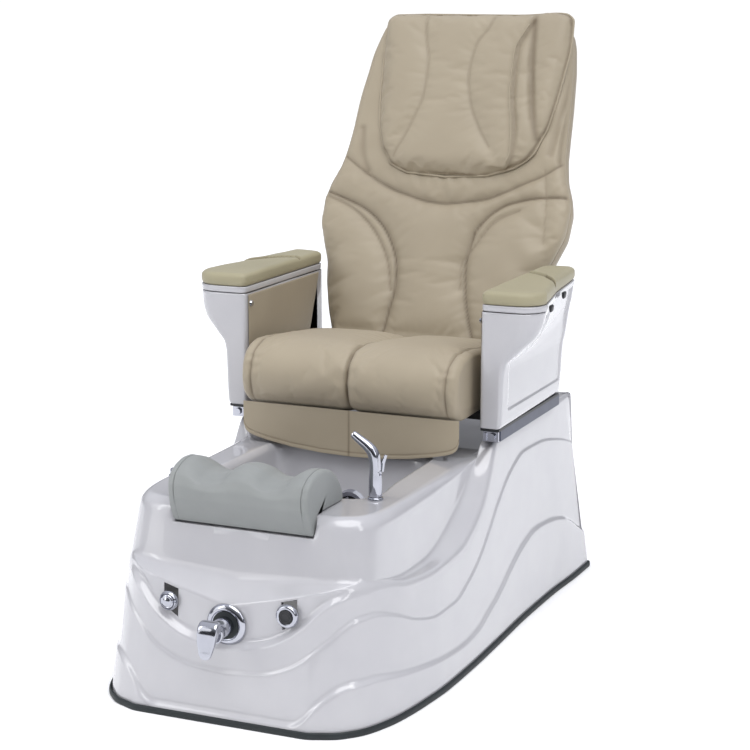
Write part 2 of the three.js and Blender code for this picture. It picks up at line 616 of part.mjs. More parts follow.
const HINGE_STATIONS = [["front", -12, 443.6], ["rear", 178, 411.5]];
[["left", -1], ["right", 1]].forEach(([side, s]) => {
  const place = (solid) => (s > 0 ? solid : mirrorX(solid));
  addPart("arm_shell_" + side, place(armShell), GELCOAT);
  addPart("arm_panel_" + side, place(armPanel), LEATHER);
  addPart("arm_bolt_" + side, place(armBolt), CHROME);
  addPart("arm_lid_" + side, place(armLid), GELCOAT);
  addPart("arm_pad_" + side, place(armPad), LEATHER);
  HINGE_STATIONS.forEach(([end, y, x]) => {
    const clip = rod("y", -9, 9, [0, 0], 4, 4, 12).add(box(-1.6, 3.4, -9, 9, -24, 0)).translate([x + 4.6, y, 796]);
    addPart("lid_hinge_" + side + "_" + end, place(clip), BLACK);
  });
});

// ---------------------------------------------------------------- seat cushion and apron
const CUSHION_PROFILE = [
  [-130, 528], [-158, 542], [-176, 568], [-182, 600], [-179, 632], [-166, 658], [-140, 676],
  [-100, 685], [-40, 683], [90, 669], [200, 654], [238, 646], [247, 634], [226, 594], [192, 530],
  [40, 528],
];
const cushionCentre = [20, 600];
const cushionStations = [
  [-SEAT_HALF_WIDTH, 22], [-SEAT_HALF_WIDTH + 7, 7], [-SEAT_HALF_WIDTH + 22, 0], [-14, 0], [0, 6],
  [14, 0], [SEAT_HALF_WIDTH - 22, 0], [SEAT_HALF_WIDTH - 7, 7], [SEAT_HALF_WIDTH, 22],
];
addPart(
  "seat_cushion",
  loft(
    cushionStations.map(([x, inset]) =>
      CUSHION_PROFILE.map(([y, z]) => {
        const reach = Math.hypot(y - cushionCentre[0], z - cushionCentre[1]);
        const keep = 1 - inset / reach;
        return [x, cushionCentre[0] + (y - cushionCentre[0]) * keep, cushionCentre[1] + (z - cushionCentre[1]) * keep];
      }),
    ),
  ),
  LEATHER,
);

const apronShape = new THREE.Shape([
  [-279, 540], [-283, 480], [-274, 464], [-250, 456], [-215, 448], [-150, 437], [-75, 430], [0, 428],
  [75, 430], [150, 437], [215, 448], [250, 456], [274, 464], [283, 480], [279, 540],
].map(([x, z]) => new THREE.Vector2(x, z)));
const apronGeometry = new THREE.ExtrudeGeometry(apronShape, { depth: 3, bevelEnabled: false });
apronGeometry.rotateX(Math.PI / 2);
addPart("seat_apron", solidFrom(apronGeometry).translate([0, -159, 0]), LEATHER);

// ---------------------------------------------------------------- recline drive
const LEVER_ARM = 125;
const DRIVE_X = 60;
const DRIVE_Z = BACK_PIVOT[2] - LEVER_ARM;
const motor = rod("y", 60, 176, [DRIVE_X, DRIVE_Z], 17, 17, 20)
  .add(box(DRIVE_X - 32, DRIVE_X + 32, -40, 62, DRIVE_Z - 24, DRIVE_Z + 24))
  .add(box(DRIVE_X - 12, DRIVE_X + 12, 12, 36, DRIVE_Z, 505.6))
  .subtract(rod("y", 66, 190, [DRIVE_X, DRIVE_Z], 10.4, 10.4, 20));
addPart("recline_motor", motor, BLACK);
// The fork's two cheeks straddle the drive lever, and its pin runs in their slots.
const pinY = BACK_PIVOT[1];
const fork = box(DRIVE_X - 13, DRIVE_X + 13, pinY - 16, pinY + 14, 462, 504)
  .subtract(box(DRIVE_X - 4, DRIVE_X + 4, pinY - 12, pinY + 30, 456, 520))
  .subtract(box(DRIVE_X - 30, DRIVE_X + 30, pinY - 6.2, pinY + 6.2, 470.5, 497));
const piston = rod("y", 128, pinY - 13, [DRIVE_X, DRIVE_Z], 10, 10, 20);
addPart("recline_rod", piston.add(fork), STEEL);

// ---------------------------------------------------------------- back rest, in its own leaning axes
// Half outline as [half width, distance up from the pivot], top centre to bottom centre.
const BACK_OUTLINE = [
  [0, 905], [120, 906], [225, 902], [248, 893], [262, 876], [272, 845], [284, 772], [293, 673],
  [298, 600], [303, 527], [314, 469], [331, 425], [342, 382], [338, 312], [316, 250], [298, 205],
  [289, 147], [266, 67], [245, 12], [225, -20], [190, -34], [0, -36],
];
const ringFromHalf = (outline, y, inset) => {
  const half = outline.map(([x, z]) => [x, z, 0]);
  const full = [...half, ...half.slice(1, -1).map(([x, z]) => [-x, z, 0]).reverse()];
  return insetRing(full, -inset).map((p) => [p[0], y, p[1]]);
};
const backRing = (y, inset) => ringFromHalf(BACK_OUTLINE, y, inset);
const pad = loft([
  backRing(PAD_FRONT + 36, 6), backRing(PAD_FRONT + 28, 0), backRing(PAD_FRONT + 14, 0),
  backRing(PAD_FRONT + 5, 8), backRing(PAD_FRONT, 22),
]);
addPart("back_pad", pad, LEATHER, back);

const SHELL_FRONT = PAD_FRONT + 36.4;
let shell = loft([backRing(SHELL_FRONT, 3), backRing(4, 2), backRing(18, 14), backRing(25, 40)]).subtract(
  loft([backRing(SHELL_FRONT - 4, 7), backRing(2, 6), backRing(15, 18), backRing(21, 42)]),
);
shell = shell
  .subtract(rod("x", -300, 300, [0, 0], 9.6, 9.6, 16))
  .subtract(box(DRIVE_X - 14, DRIVE_X + 14, -18, 60, -80, 14));
addPart("back_shell", shell, LEATHER, back);

const TUBE_X = 185;
const GUIDE_X = 122;
let backFrame = rod("x", -296, 296, [0, 0], 7.92, 7.92, 40);
[-1, 1].forEach((s) => {
  backFrame = backFrame
    .add(rod("z", -16, 812, [s * TUBE_X, -8], 11, 11, 12))
    .add(rod("z", 84, 736, [s * GUIDE_X, 2], 6, 6, 12))
    .add(rod("x", 272, 283.6, [0, 0], 13, 13, 20).translate([s > 0 ? 0 : -555.6, 0, 0]));
});
[90, 730, 806].forEach((z) => {
  backFrame = backFrame.add(box(-TUBE_X, TUBE_X, -14, 8, z - 8, z + 8));
});
const leverTip = [LEVER_ARM * Math.sin(BACK_LEAN), -LEVER_ARM * Math.cos(BACK_LEAN)];
const driveLever = plateX([[-11, 4], [11, -4], [leverTip[0] + 10, leverTip[1] - 3], [leverTip[0], leverTip[1] - 11],
  [leverTip[0] - 10, leverTip[1] + 3]], DRIVE_X - 3, DRIVE_X + 3);
backFrame = backFrame
  .add(driveLever)
  .add(rod("x", DRIVE_X - 12, DRIVE_X + 12, leverTip, 5, 5, 16));
addPart("back_frame", backFrame, STEEL, back);

// Massage carriage on the guide rods, with two rollers that press on the pad.
const CARRIAGE_Z = 330;
let carriage = box(-148, 148, -20, 18, CARRIAGE_Z - 46, CARRIAGE_Z + 46)
  .subtract(rod("z", 200, 460, [GUIDE_X, 2], 6.4, 6.4, 12))
  .subtract(rod("z", 200, 460, [-GUIDE_X, 2], 6.4, 6.4, 12));
const ROLLER_X = 62;
[["left", -1], ["right", 1]].forEach(([side, s]) => {
  const x = s * ROLLER_X;
  carriage = carriage
    .subtract(box(x - 16, x + 16, -30, 10, CARRIAGE_Z - 19, CARRIAGE_Z + 19))
    .subtract(rod("x", x - 22, x + 22, [-9, CARRIAGE_Z], 4.06, 4.06, 28));
  const roller = rod("x", x - 13, x + 13, [-9, CARRIAGE_Z], 15, 15, 24)
    .add(rod("x", x - 20, x + 20, [-9, CARRIAGE_Z], 4, 4, 28));
  addPart("massage_roller_" + side, roller, BLACK, back);
});
addPart("massage_carriage", carriage, BLACK, back);

// ---------------------------------------------------------------- head pillow
const PILLOW_OUTLINE = [
  [0, 903], [150, 903], [250, 899], [262, 884], [259, 795], [247, 673], [233, 588], [209, 520],
  [171, 478], [111, 455], [0, 447],
];
const pillowRing = (y, inset) => ringFromHalf(PILLOW_OUTLINE, y, inset);
addPart(
  "head_pillow",
  loft([
    pillowRing(PAD_FRONT - 0.5, 7), pillowRing(PAD_FRONT - 7, 0), pillowRing(PAD_FRONT - 16, 1),
    pillowRing(PAD_FRONT - 28, 14), pillowRing(PAD_FRONT - 36, 44),
  ]),
  LEATHER,
  back,
);

chair.add(back);
chair.children.forEach((child) => {
  child.position.y += DATUM_SHIFT_Y;
});

export default chair;
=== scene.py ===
# %% [markdown]
# A pedicure spa chair, piece by piece. The hard parts arrive as a measured model, the "frame", whose pieces
# already sit where they belong and already know which of them move together. This lesson dresses that frame:
# a smooth glossy moulding over the faceted one, sewn leather over the plain cushions, turned chrome over the
# rough bars, and a finish for everything that stays.

# %% Load the measured frame
import json
import math
import bpy
import bmesh
import numpy as np
from mathutils import Matrix, Vector
from mathutils.bvhtree import BVHTree


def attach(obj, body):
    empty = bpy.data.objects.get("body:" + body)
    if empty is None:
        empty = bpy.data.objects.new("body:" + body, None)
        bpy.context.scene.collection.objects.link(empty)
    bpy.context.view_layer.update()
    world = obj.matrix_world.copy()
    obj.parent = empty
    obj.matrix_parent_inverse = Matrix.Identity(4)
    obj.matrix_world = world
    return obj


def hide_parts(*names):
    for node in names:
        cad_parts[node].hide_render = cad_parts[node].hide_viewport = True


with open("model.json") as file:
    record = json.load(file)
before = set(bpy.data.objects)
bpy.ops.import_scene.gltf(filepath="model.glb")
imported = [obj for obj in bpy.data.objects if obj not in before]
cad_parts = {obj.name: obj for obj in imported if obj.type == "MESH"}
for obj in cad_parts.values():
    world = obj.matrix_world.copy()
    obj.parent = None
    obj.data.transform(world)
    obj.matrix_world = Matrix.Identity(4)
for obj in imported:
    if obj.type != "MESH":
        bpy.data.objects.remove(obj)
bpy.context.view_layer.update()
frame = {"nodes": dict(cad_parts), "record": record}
nodes = frame["nodes"]
scene = bpy.context.scene

# %% [markdown]
# All the drawing tables below are in millimetres, on the chair maker's own datum, which lies 78 mm in front of
# the middle of the chair. One small function turns them into metres in the frame. The back rest is drawn in its
# own leaning axes: across, through, and up along the back from the hinge.

# %% Units and axes
MM = 0.001
DATUM_Y = 78.0
BACK_PIVOT = np.array([0.0, 309.0, 602.0])
BACK_LEAN = math.radians(27.0)
BACK_TOP = 905.0


def to_frame(points):
    """Drawing millimetres to metres: 78 mm is added to y and the whole is multiplied by 0.001."""
    return (np.asarray(points, float) + [0.0, DATUM_Y, 0.0]) * MM


def lean(points):
    """Back-rest axes to drawing axes: turned by the lean about X, then moved to the hinge."""
    p = np.asarray(points, float)
    c, s = math.cos(BACK_LEAN), math.sin(BACK_LEAN)
    y = p[..., 1] * c + p[..., 2] * s
    z = -p[..., 1] * s + p[..., 2] * c
    return np.stack([p[..., 0], y, z], -1) + BACK_PIVOT


# %% [markdown]
# The camera comes first, because every choice of detail depends on where one looks from. It stands to the
# right of the front, a little above the arms, with a long lens, so the chair is seen without much perspective.

# %% Camera
AZIMUTH = math.radians(23.644)
ELEVATION = math.radians(11.848)
LENS = 94.02
CAMERA_PLACE = (1.86385, -4.26378 + DATUM_Y * MM, 1.57051)
camera_data = bpy.data.cameras.new("camera")
camera_data.sensor_width = 36.0
camera_data.lens = LENS
camera_data.clip_end = 50.0
camera = bpy.data.objects.new("camera", camera_data)
scene.collection.objects.link(camera)
ahead = Vector((-math.sin(AZIMUTH) * math.cos(ELEVATION), math.cos(AZIMUTH) * math.cos(ELEVATION),
                -math.sin(ELEVATION)))
right = Vector((math.cos(AZIMUTH), math.sin(AZIMUTH), 0.0))
above = right.cross(ahead)
turn = Matrix((right, above, -ahead)).transposed().to_4x4()
camera.matrix_world = Matrix.Translation(CAMERA_PLACE) @ turn
scene.camera = camera
print("camera at", tuple(round(v, 3) for v in camera.location))

# %% [markdown]
# A pale floor and soft light, as in a catalogue studio. Parallel light from a wide angle overhead lights the
# floor and the tops evenly, a weaker one comes from the left, and two tall strip lamps draw the long
# highlights on the gloss. The surround is dimmer in the light it gives than it looks behind the chair, so that
# upright faces keep their shade. The floor is so large that its edge is never seen.

# %% Studio
def area_lamp(name, place, aim, size, power):
    """A square lamp at one point that faces another."""
    data = bpy.data.lights.new(name, "AREA")
    data.shape = "RECTANGLE"
    data.size, data.size_y = size
    data.energy = power
    lamp = bpy.data.objects.new(name, data)
    scene.collection.objects.link(lamp)
    lamp.location = place
    lamp.rotation_euler = (Vector(aim) - Vector(place)).to_track_quat("-Z", "Y").to_euler()
    return lamp


def sun_lamp(name, towards, strength, spread):
    """Parallel light along a direction, softened by the angle that the source spans."""
    data = bpy.data.lights.new(name, "SUN")
    data.energy, data.angle = strength, math.radians(spread)
    lamp = bpy.data.objects.new(name, data)
    scene.collection.objects.link(lamp)
    lamp.location = (0.0, 0.0, 6.0)
    lamp.rotation_euler = Vector(towards).to_track_quat("-Z", "Y").to_euler()


sun_lamp("overhead", (-0.25, 0.35, -1.0), 1.75, 50)
sun_lamp("from_the_left", (0.8, 0.75, -0.4), 0.45, 40)
area_lamp("strip_left", (-2.4, -3.2, 2.2), (0.0, -0.4, 0.4), (0.5, 2.4), 12.0)
area_lamp("strip_right", (3.4, -2.0, 2.6), (0.1, 0.0, 0.4), (0.6, 2.6), 16.0)
surround = bpy.data.worlds.new("surround")
surround.use_nodes = True
sky = surround.node_tree
pale = sky.nodes["Background"]
pale.inputs["Strength"].default_value = 0.80
heading = sky.nodes.new("ShaderNodeTexCoord")
parts = sky.nodes.new("ShaderNodeSeparateXYZ")
sky.links.new(heading.outputs["Generated"], parts.inputs["Vector"])


def sky_ramp(output, low, stops):
    """Grey levels against one component of the direction, from `low` to 1."""
    span = sky.nodes.new("ShaderNodeMapRange")
    span.inputs["From Min"].default_value = low
    sky.links.new(parts.outputs[output], span.inputs["Value"])
    ramp = sky.nodes.new("ShaderNodeValToRGB")
    while len(ramp.color_ramp.elements) < len(stops):
        ramp.color_ramp.elements.new(0.5)
    for element, (at, grey) in zip(ramp.color_ramp.elements, stops):
        element.position = at
        element.color = (grey * 0.97, grey * 0.98, grey * 1.02, 1.0)
    sky.links.new(span.outputs["Result"], ramp.inputs["Fac"])
    return ramp.outputs["Color"]


by_height = sky_ramp("Z", -1.0, [(0.0, 0.8), (0.49, 0.55), (0.53, 0.22), (0.60, 0.30), (0.70, 0.75), (1.0, 1.15)])
by_depth = sky_ramp("Y", -1.0, [(0.0, 0.24), (0.10, 0.36), (0.24, 0.95), (0.6, 1.0)])
product = sky.nodes.new("ShaderNodeMix")
product.data_type = "RGBA"
product.blend_type = "MULTIPLY"
product.inputs["Factor"].default_value = 1.0
sky.links.new(by_height, product.inputs["A"])
sky.links.new(by_depth, product.inputs["B"])
sky.links.new(product.outputs["Result"], pale.inputs["Color"])
white = sky.nodes.new("ShaderNodeBackground")
white.inputs["Color"].default_value = (1.0, 1.0, 1.0, 1.0)
white.inputs["Strength"].default_value = 1.05
seen_directly = sky.nodes.new("ShaderNodeLightPath")
either = sky.nodes.new("ShaderNodeMixShader")
sky.links.new(seen_directly.outputs["Is Camera Ray"], either.inputs["Fac"])
sky.links.new(pale.outputs["Background"], either.inputs[1])
sky.links.new(white.outputs["Background"], either.inputs[2])
sky.links.new(either.outputs["Shader"], sky.nodes["World Output"].inputs["Surface"])
scene.world = surround
scene.view_settings.view_transform = "Standard"

floor_mesh = bpy.data.meshes.new("floor")
FLOOR_REACH = 14.0
floor_corners = [(-1, -1), (1, -1), (1, 1), (-1, 1)]
floor_mesh.from_pydata([(x * FLOOR_REACH, y * FLOOR_REACH, 0.0) for x, y in floor_corners], [], [(0, 1, 2, 3)])
floor = bpy.data.objects.new("floor", floor_mesh)
scene.collection.objects.link(floor)

# %% [markdown]
# Every finish is made from nodes. They share one pattern: noise of two sizes read on Object coordinates, which
# sit still on the piece when it moves. One size tints the colour, the other roughens the shine and drives a
# bump. A helper lays out that pattern, and each finish then changes what is its own.

# %% The shared pattern of a finish
def finish(name, colour, tint, tint_scale, roughness, rough_spread, grain_scale, grain_height, **shader):
    """A material whose colour moves between two tints with broad noise, and whose roughness and bump follow
    fine noise. Plain numbers in `shader` go straight onto the shader's sockets."""
    material = bpy.data.materials.new(name)
    material.use_nodes = True
    tree = material.node_tree
    bsdf = tree.nodes["Principled BSDF"]
    place = tree.nodes.new("ShaderNodeTexCoord")
    broad = tree.nodes.new("ShaderNodeTexNoise")
    broad.inputs["Scale"].default_value = tint_scale
    broad.inputs["Detail"].default_value = 4.0
    tree.links.new(place.outputs["Object"], broad.inputs["Vector"])
    colours = tree.nodes.new("ShaderNodeValToRGB")
    colours.color_ramp.elements[0].position = 0.3
    colours.color_ramp.elements[1].position = 0.7
    colours.color_ramp.elements[0].color = (*tint, 1.0)
    colours.color_ramp.elements[1].color = (*colour, 1.0)
    tree.links.new(broad.outputs["Fac"], colours.inputs["Fac"])
    tree.links.new(colours.outputs["Color"], bsdf.inputs["Base Color"])
    fine = tree.nodes.new("ShaderNodeTexNoise")
    fine.name = "fine"
    fine.inputs["Scale"].default_value = grain_scale
    fine.inputs["Detail"].default_value = 3.0
    tree.links.new(place.outputs["Object"], fine.inputs["Vector"])
    rough = tree.nodes.new("ShaderNodeMapRange")
    rough.inputs["To Min"].default_value = roughness - rough_spread
    rough.inputs["To Max"].default_value = roughness + rough_spread
    tree.links.new(fine.outputs["Fac"], rough.inputs["Value"])
    tree.links.new(rough.outputs["Result"], bsdf.inputs["Roughness"])
    bump = tree.nodes.new("ShaderNodeBump")
    bump.name = "bump"
    bump.inputs["Strength"].default_value = 1.0
    bump.inputs["Distance"].default_value = grain_height
    tree.links.new(fine.outputs["Fac"], bump.inputs["Height"])
    tree.links.new(bump.outputs["Normal"], bsdf.inputs["Normal"])
    for socket, value in shader.items():
        bsdf.inputs[socket.replace("_", " ")].default_value = value
    return material


# %% [markdown]
# The moulding is polyester gelcoat: a pearl white with the faintest lilac, under a clear, very smooth skin.
# The chrome is nearly a mirror, the rails are blue-grey paint, the foam of the footrest is a satin grey-green,
# and the rest are small plastics and rubbers.

# %% Hard finishes
gelcoat = finish("pearl_gelcoat", (0.515, 0.511, 0.530), (0.485, 0.481, 0.505), 9.0, 0.22, 0.05, 260.0, 0.00002,
                 Coat_Weight=1.0, Coat_Roughness=0.04, IOR=1.5)
chrome = finish("polished_chrome", (0.50, 0.51, 0.56), (0.44, 0.45, 0.50), 14.0, 0.09, 0.03, 180.0, 0.00001,
                Metallic=1.0)
rail_paint = finish("rail_paint", (0.070, 0.080, 0.120), (0.052, 0.060, 0.095), 20.0, 0.42, 0.07, 500.0, 0.00003,
                    Metallic=0.10, Coat_Weight=0.10, Coat_Roughness=0.2)
foam_skin = finish("foam_skin", (0.285, 0.298, 0.292), (0.255, 0.268, 0.262), 11.0, 0.52, 0.06, 900.0, 0.00004,
                   Sheen_Weight=0.12, Sheen_Roughness=0.5)
black_plastic = finish("black_plastic", (0.022, 0.023, 0.026), (0.014, 0.015, 0.017), 18.0, 0.42, 0.08, 700.0,
                       0.00004)
black_rubber = finish("edge_rubber", (0.012, 0.018, 0.020), (0.008, 0.012, 0.014), 25.0, 0.55, 0.08, 650.0, 0.00006)
hose_plastic = finish("hose_plastic", (0.42, 0.44, 0.46), (0.36, 0.38, 0.40), 16.0, 0.45, 0.06, 400.0, 0.00003)
floor_paint = finish("studio_floor", (0.93, 0.93, 0.935), (0.90, 0.90, 0.905), 0.6, 0.75, 0.05, 60.0, 0.00002)
floor_shader = floor_paint.node_tree.nodes["Principled BSDF"]
floor_shader.inputs["Emission Color"].default_value = (1.0, 1.0, 1.0, 1.0)
floor_shader.inputs["Emission Strength"].default_value = 0.14
floor_mesh.materials.append(floor_paint)
print("hard finishes made")

# %% [markdown]
# Leather wants more: pores that form small polygons, and a broad unevenness where the hide was stretched. The
# pores are cells of a Voronoi pattern about a millimetre wide, mixed into the bump, and the shine breaks up
# with them. Where a seam or fold runs, and over faces that lie in shade, the piece carries a number on its
# points, and the colour is darkened there by it: this is painted shade.

# %% Leather
def leather(name, colour, tint, pore_scale=950.0):
    """The shared pattern, with Voronoi pores added to the bump and the tint darkened by painted shade from a point
    attribute.
    """
    material = finish(name, colour, tint, 5.0, 0.50, 0.07, 340.0, 0.00012, Sheen_Weight=0.10, Sheen_Roughness=0.4,
                      Specular_IOR_Level=0.38)
    tree = material.node_tree
    bsdf = tree.nodes["Principled BSDF"]
    place = next(n for n in tree.nodes if n.type == "TEX_COORD")
    pores = tree.nodes.new("ShaderNodeTexVoronoi")
    pores.inputs["Scale"].default_value = pore_scale
    tree.links.new(place.outputs["Object"], pores.inputs["Vector"])
    both = tree.nodes.new("ShaderNodeMath")
    both.operation = "MULTIPLY_ADD"
    both.inputs[1].default_value = 0.55
    tree.links.new(pores.outputs["Distance"], both.inputs[0])
    tree.links.new(tree.nodes["fine"].outputs["Fac"], both.inputs[2])
    tree.links.new(both.outputs["Value"], tree.nodes["bump"].inputs["Height"])
    ramp = next(n for n in tree.nodes if n.type == "VALTORGB")
    painted_shade = tree.nodes.new("ShaderNodeAttribute")
    painted_shade.attribute_name = "painted_shade"
    shade = tree.nodes.new("ShaderNodeMix")
    shade.data_type = "RGBA"
    shade.blend_type = "MULTIPLY"
    # painted shade: the tint is multiplied towards this dark brown where the point attribute is high, at seams, folds
    # and shaded faces
    shade.inputs["B"].default_value = (0.50, 0.46, 0.42, 1.0)
    tree.links.new(painted_shade.outputs["Fac"], shade.inputs["Factor"])
    tree.links.new(ramp.outputs["Color"], shade.inputs["A"])
    tree.links.new(shade.outputs["Result"], bsdf.inputs["Base Color"])
    return material


hide = leather("beige_leather", (0.395, 0.338, 0.247), (0.360, 0.306, 0.222))
arm_hide = leather("armrest_leather", (0.385, 0.350, 0.232), (0.350, 0.318, 0.208))
thread = finish("sewing_thread", (0.36, 0.31, 0.25), (0.30, 0.26, 0.20), 60.0, 0.7, 0.05, 2500.0, 0.00003)
print("leather made")

# %% [markdown]
# Most measured pieces keep their shape and only need their finish, which the record names slot by slot.

# %% Finishes for the measured pieces
FINISH_OF_SLOT = {
    "gelcoat": gelcoat, "trim_rubber": black_rubber, "leather": hide, "grey_foam": foam_skin, "chrome": chrome,
    "steel": rail_paint, "black_plastic": black_plastic, "hose": hose_plastic,
}
slot_of_node = {s["node"]: s["material_slot"] for s in frame["record"]["subparts"]}
for node_name, node in nodes.items():
    node.data.materials.clear()
    node.data.materials.append(FINISH_OF_SLOT[slot_of_node[node_name]])
# the seat frame gets the black finish as painted shade for the dark gap under the cushion beside the arms
nodes["seat_frame"].data.materials[0] = black_plastic
body_of_node = {node: body for body, members in frame["record"]["behaviour"]["bodies"].items() for node in members}
print("finished", len(slot_of_node), "measured pieces")

# %% [markdown]
# A new piece is a grid of points: rows one way, columns the other, either of which may close on itself. These
# helpers join the grid into faces, close an open end with a fan to its middle point, and turn the whole the
# right way out by the sign of the volume it encloses.

# %% From a grid to a piece
def grid_faces(rows, columns, wrap_rows=False, wrap_columns=True):
    """Cell (i, j) joins the points (i, j), (i, j+1), (i+1, j+1) and (i+1, j)."""
    i, j = np.meshgrid(np.arange(rows - (not wrap_rows)), np.arange(columns - (not wrap_columns)), indexing="ij")
    k, n = (j + 1) % columns, (i + 1) % rows
    return np.stack([i * columns + j, i * columns + k, n * columns + k, n * columns + j], -1).reshape(-1, 4)


def enclosed_volume(points, faces):
    """The sum over faces of the tetrahedron volumes to the mean point; it is positive if faces look outwards."""
    p = points - points.mean(0)
    a, b, c, d = (p[faces[:, k]] for k in range(4))
    return (np.einsum("ij,ij->i", a, np.cross(b, c)).sum() + np.einsum("ij,ij->i", a, np.cross(c, d)).sum()) / 6


def add_piece(name, points, faces, material, body, stands_for=(), sharp=50.0):
    """Puts points and faces into a mesh, welds points that coincide, smooths it but for edges over an angle,
    and hangs the piece on its body."""
    if enclosed_volume(points, faces) < 0:
        faces = faces[:, ::-1]
    mesh = bpy.data.meshes.new(name)
    mesh.from_pydata(points.tolist(), [], faces.tolist())
    shape = bmesh.new()
    shape.from_mesh(mesh)
    bmesh.ops.remove_doubles(shape, verts=shape.verts, dist=2e-6)
    bmesh.ops.dissolve_degenerate(shape, edges=shape.edges, dist=1e-7)
    shape.to_mesh(mesh)
    shape.free()
    mesh.shade_smooth()
    mesh.set_sharp_from_angle(angle=math.radians(sharp))
    mesh.materials.append(material)
    piece = bpy.data.objects.new(name, mesh)
    scene.collection.objects.link(piece)
    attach(piece, body)
    if stands_for:
        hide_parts(*stands_for)
    return piece


def close_ends(grid, first=True, last=True):
    """Adds a row that is all one point, the mean of the end row, before the first row or after the last."""
    rows = [grid]
    if first:
        rows.insert(0, np.broadcast_to(grid[0].mean(0), grid[:1].shape))
    if last:
        rows.append(np.broadcast_to(grid[-1].mean(0), grid[:1].shape))
    return np.concatenate(rows)


def loft_piece(name, grid, material, body, stands_for=(), ends=(True, True), wrap_rows=False, sharp=50.0):
    """A skin through rows of points, each row a closed ring, in drawing millimetres."""
    grid = close_ends(grid, *ends) if not wrap_rows else grid
    faces = grid_faces(grid.shape[0], grid.shape[1], wrap_rows)
    return add_piece(name, to_frame(grid).reshape(-1, 3), faces, material, body, stands_for, sharp)


# %% [markdown]
# The moulded base is read from a handful of lines, as a pattern maker would take them: the foot on the floor,
# the crown at the top, three waves pressed into the side, the ledge, the foot of the tub and the bowl. Between
# the measured points each line is a curve that never overshoots, softened like the radius of a mould.

# %% Smooth lines through measured points
def smooth_values(s, values, at):
    """Cubic Hermite interpolation whose tangent at each point is the weighted harmonic mean of the slopes
    beside it, and zero where they differ in sign, so the curve never overshoots."""
    s, values, at = np.asarray(s, float), np.asarray(values, float), np.asarray(at, float)
    flat = values.ndim == 1
    v = values[:, None] if flat else values
    h = np.diff(s)[:, None]
    slope = np.diff(v, axis=0) / h
    before, after = slope[:-1], slope[1:]
    same = before * after > 0
    safe = np.where(same, before, 1.0), np.where(same, after, 1.0)
    w1, w2 = 2 * h[1:] + h[:-1], h[1:] + 2 * h[:-1]
    tangent = np.concatenate([slope[:1], np.where(same, (w1 + w2) / (w1 / safe[0] + w2 / safe[1]), 0.0), slope[-1:]])
    k = np.clip(np.searchsorted(s, at, "right") - 1, 0, len(s) - 2)
    t = ((at - s[k]) / h[k, 0])[:, None]
    out = ((2 * t**3 - 3 * t**2 + 1) * v[k] + (t**3 - 2 * t**2 + t) * h[k] * tangent[k]
           + (3 * t**2 - 2 * t**3) * v[k + 1] + (t**3 - t**2) * h[k] * tangent[k + 1])
    return out[:, 0] if flat else out


def soften(curve, width, mirror=None):
    """Averages each point with its neighbours under a bell of the given width; the ends are mirrored or wrapped."""
    pad = int(4 * width)
    if mirror is None:
        longer = np.concatenate([curve[-pad:], curve, curve[:pad]])
    else:
        longer = np.concatenate([(curve * mirror)[1:pad + 1][::-1], curve, (curve * mirror)[-pad - 1:-1][::-1]])
    bell = np.exp(-0.5 * (np.arange(-pad, pad + 1) / width) ** 2)
    bell /= bell.sum()
    return np.stack([np.convolve(longer[:, a], bell, "valid") for a in range(curve.shape[1])], 1)


def half_line(knots, width=6.0):
    """A front-to-back half outline at 1 mm steps, softened, mirrored at both ends."""
    knots = np.asarray(knots, float)
    along = np.concatenate([[0.0], np.cumsum(np.hypot(*np.diff(knots[:, :2], axis=0).T))])
    curve = smooth_values(along, knots, np.arange(0.0, along[-1], 1.0))
    return soften(curve, width, mirror=np.array([-1.0, 1.0, 1.0]))


FLOOR_LINE = [
    [0, -828, 2], [200, -828, 2], [231, -817, 2], [259, -805, 2], [282, -785, 2], [303, -760, 2], [320, -725, 2],
    [340, -663, 2], [357, -560, 2], [368, -435, 2], [370, -283, 2], [367, -107, 2], [363, 81, 2], [365, 272, 2],
    [374, 444, 2], [376, 550, 2], [0, 550, 2]]
CROWN_LINE = [
    [0, -747, 479], [185, -745, 479], [215, -738, 479], [245, -722, 479], [270, -700, 479], [296, -668, 479],
    [318, -620, 479], [335, -560, 479], [345, -435, 479], [347, -283, 479], [346, -71, 479], [344, 81, 479],
    [343, 272, 479], [341, 440, 479], [338, 520, 479], [0, 520, 479]]
LEDGE_LINE = [
    [0, -785, 248], [123, -784, 277], [190, -778, 294], [245, -764, 304], [280, -742, 308], [312, -700, 309],
    [330, -655, 302], [342, -590, 287], [352, -460, 277], [352, -325, 284], [350, -246, 308], [349, -171, 349],
    [347, -107, 417], [346, -78, 462], [345, -66, 479], [343, 81, 479], [341, 272, 479], [338, 520, 479],
    [0, 520, 479]]
TUB_FOOT_LINE = [
    [0, -733, 298], [185, -731, 307], [235, -724, 312], [265, -708, 315], [288, -684, 313], [302, -650, 306],
    [308, -600, 296], [310, -552, 290], [309, -445, 289], [306, -360, 303], [304, -309, 322], [302, -210, 367],
    [300, -142, 410], [299, -97, 437], [298, -78, 472], [298, -60, 479], [298, 474, 479], [0, 474, 479]]
RIM_LINE = [
    [0, -700, 440], [200, -700, 440], [237, -690, 440], [262, -672, 440], [280, -645, 440], [290, -600, 440],
    [294, -550, 440], [296, -300, 440], [297, -97, 440], [297, 473, 440], [0, 473, 440]]
BOWL_LINE = [
    [0, -540, 440], [154, -536, 440], [190, -522, 440], [210, -500, 440], [213, -460, 440], [205, -380, 440],
    [202, -250, 440], [200, -160, 440], [185, -138, 440], [150, -130, 440], [0, -130, 440]]
BOWL_FLOOR_LINE = [
    [0, -502, 190], [134, -500, 190], [166, -483, 190], [182, -446, 190], [180, -230, 190], [168, -184, 190],
    [130, -169, 190], [0, -167, 190]]
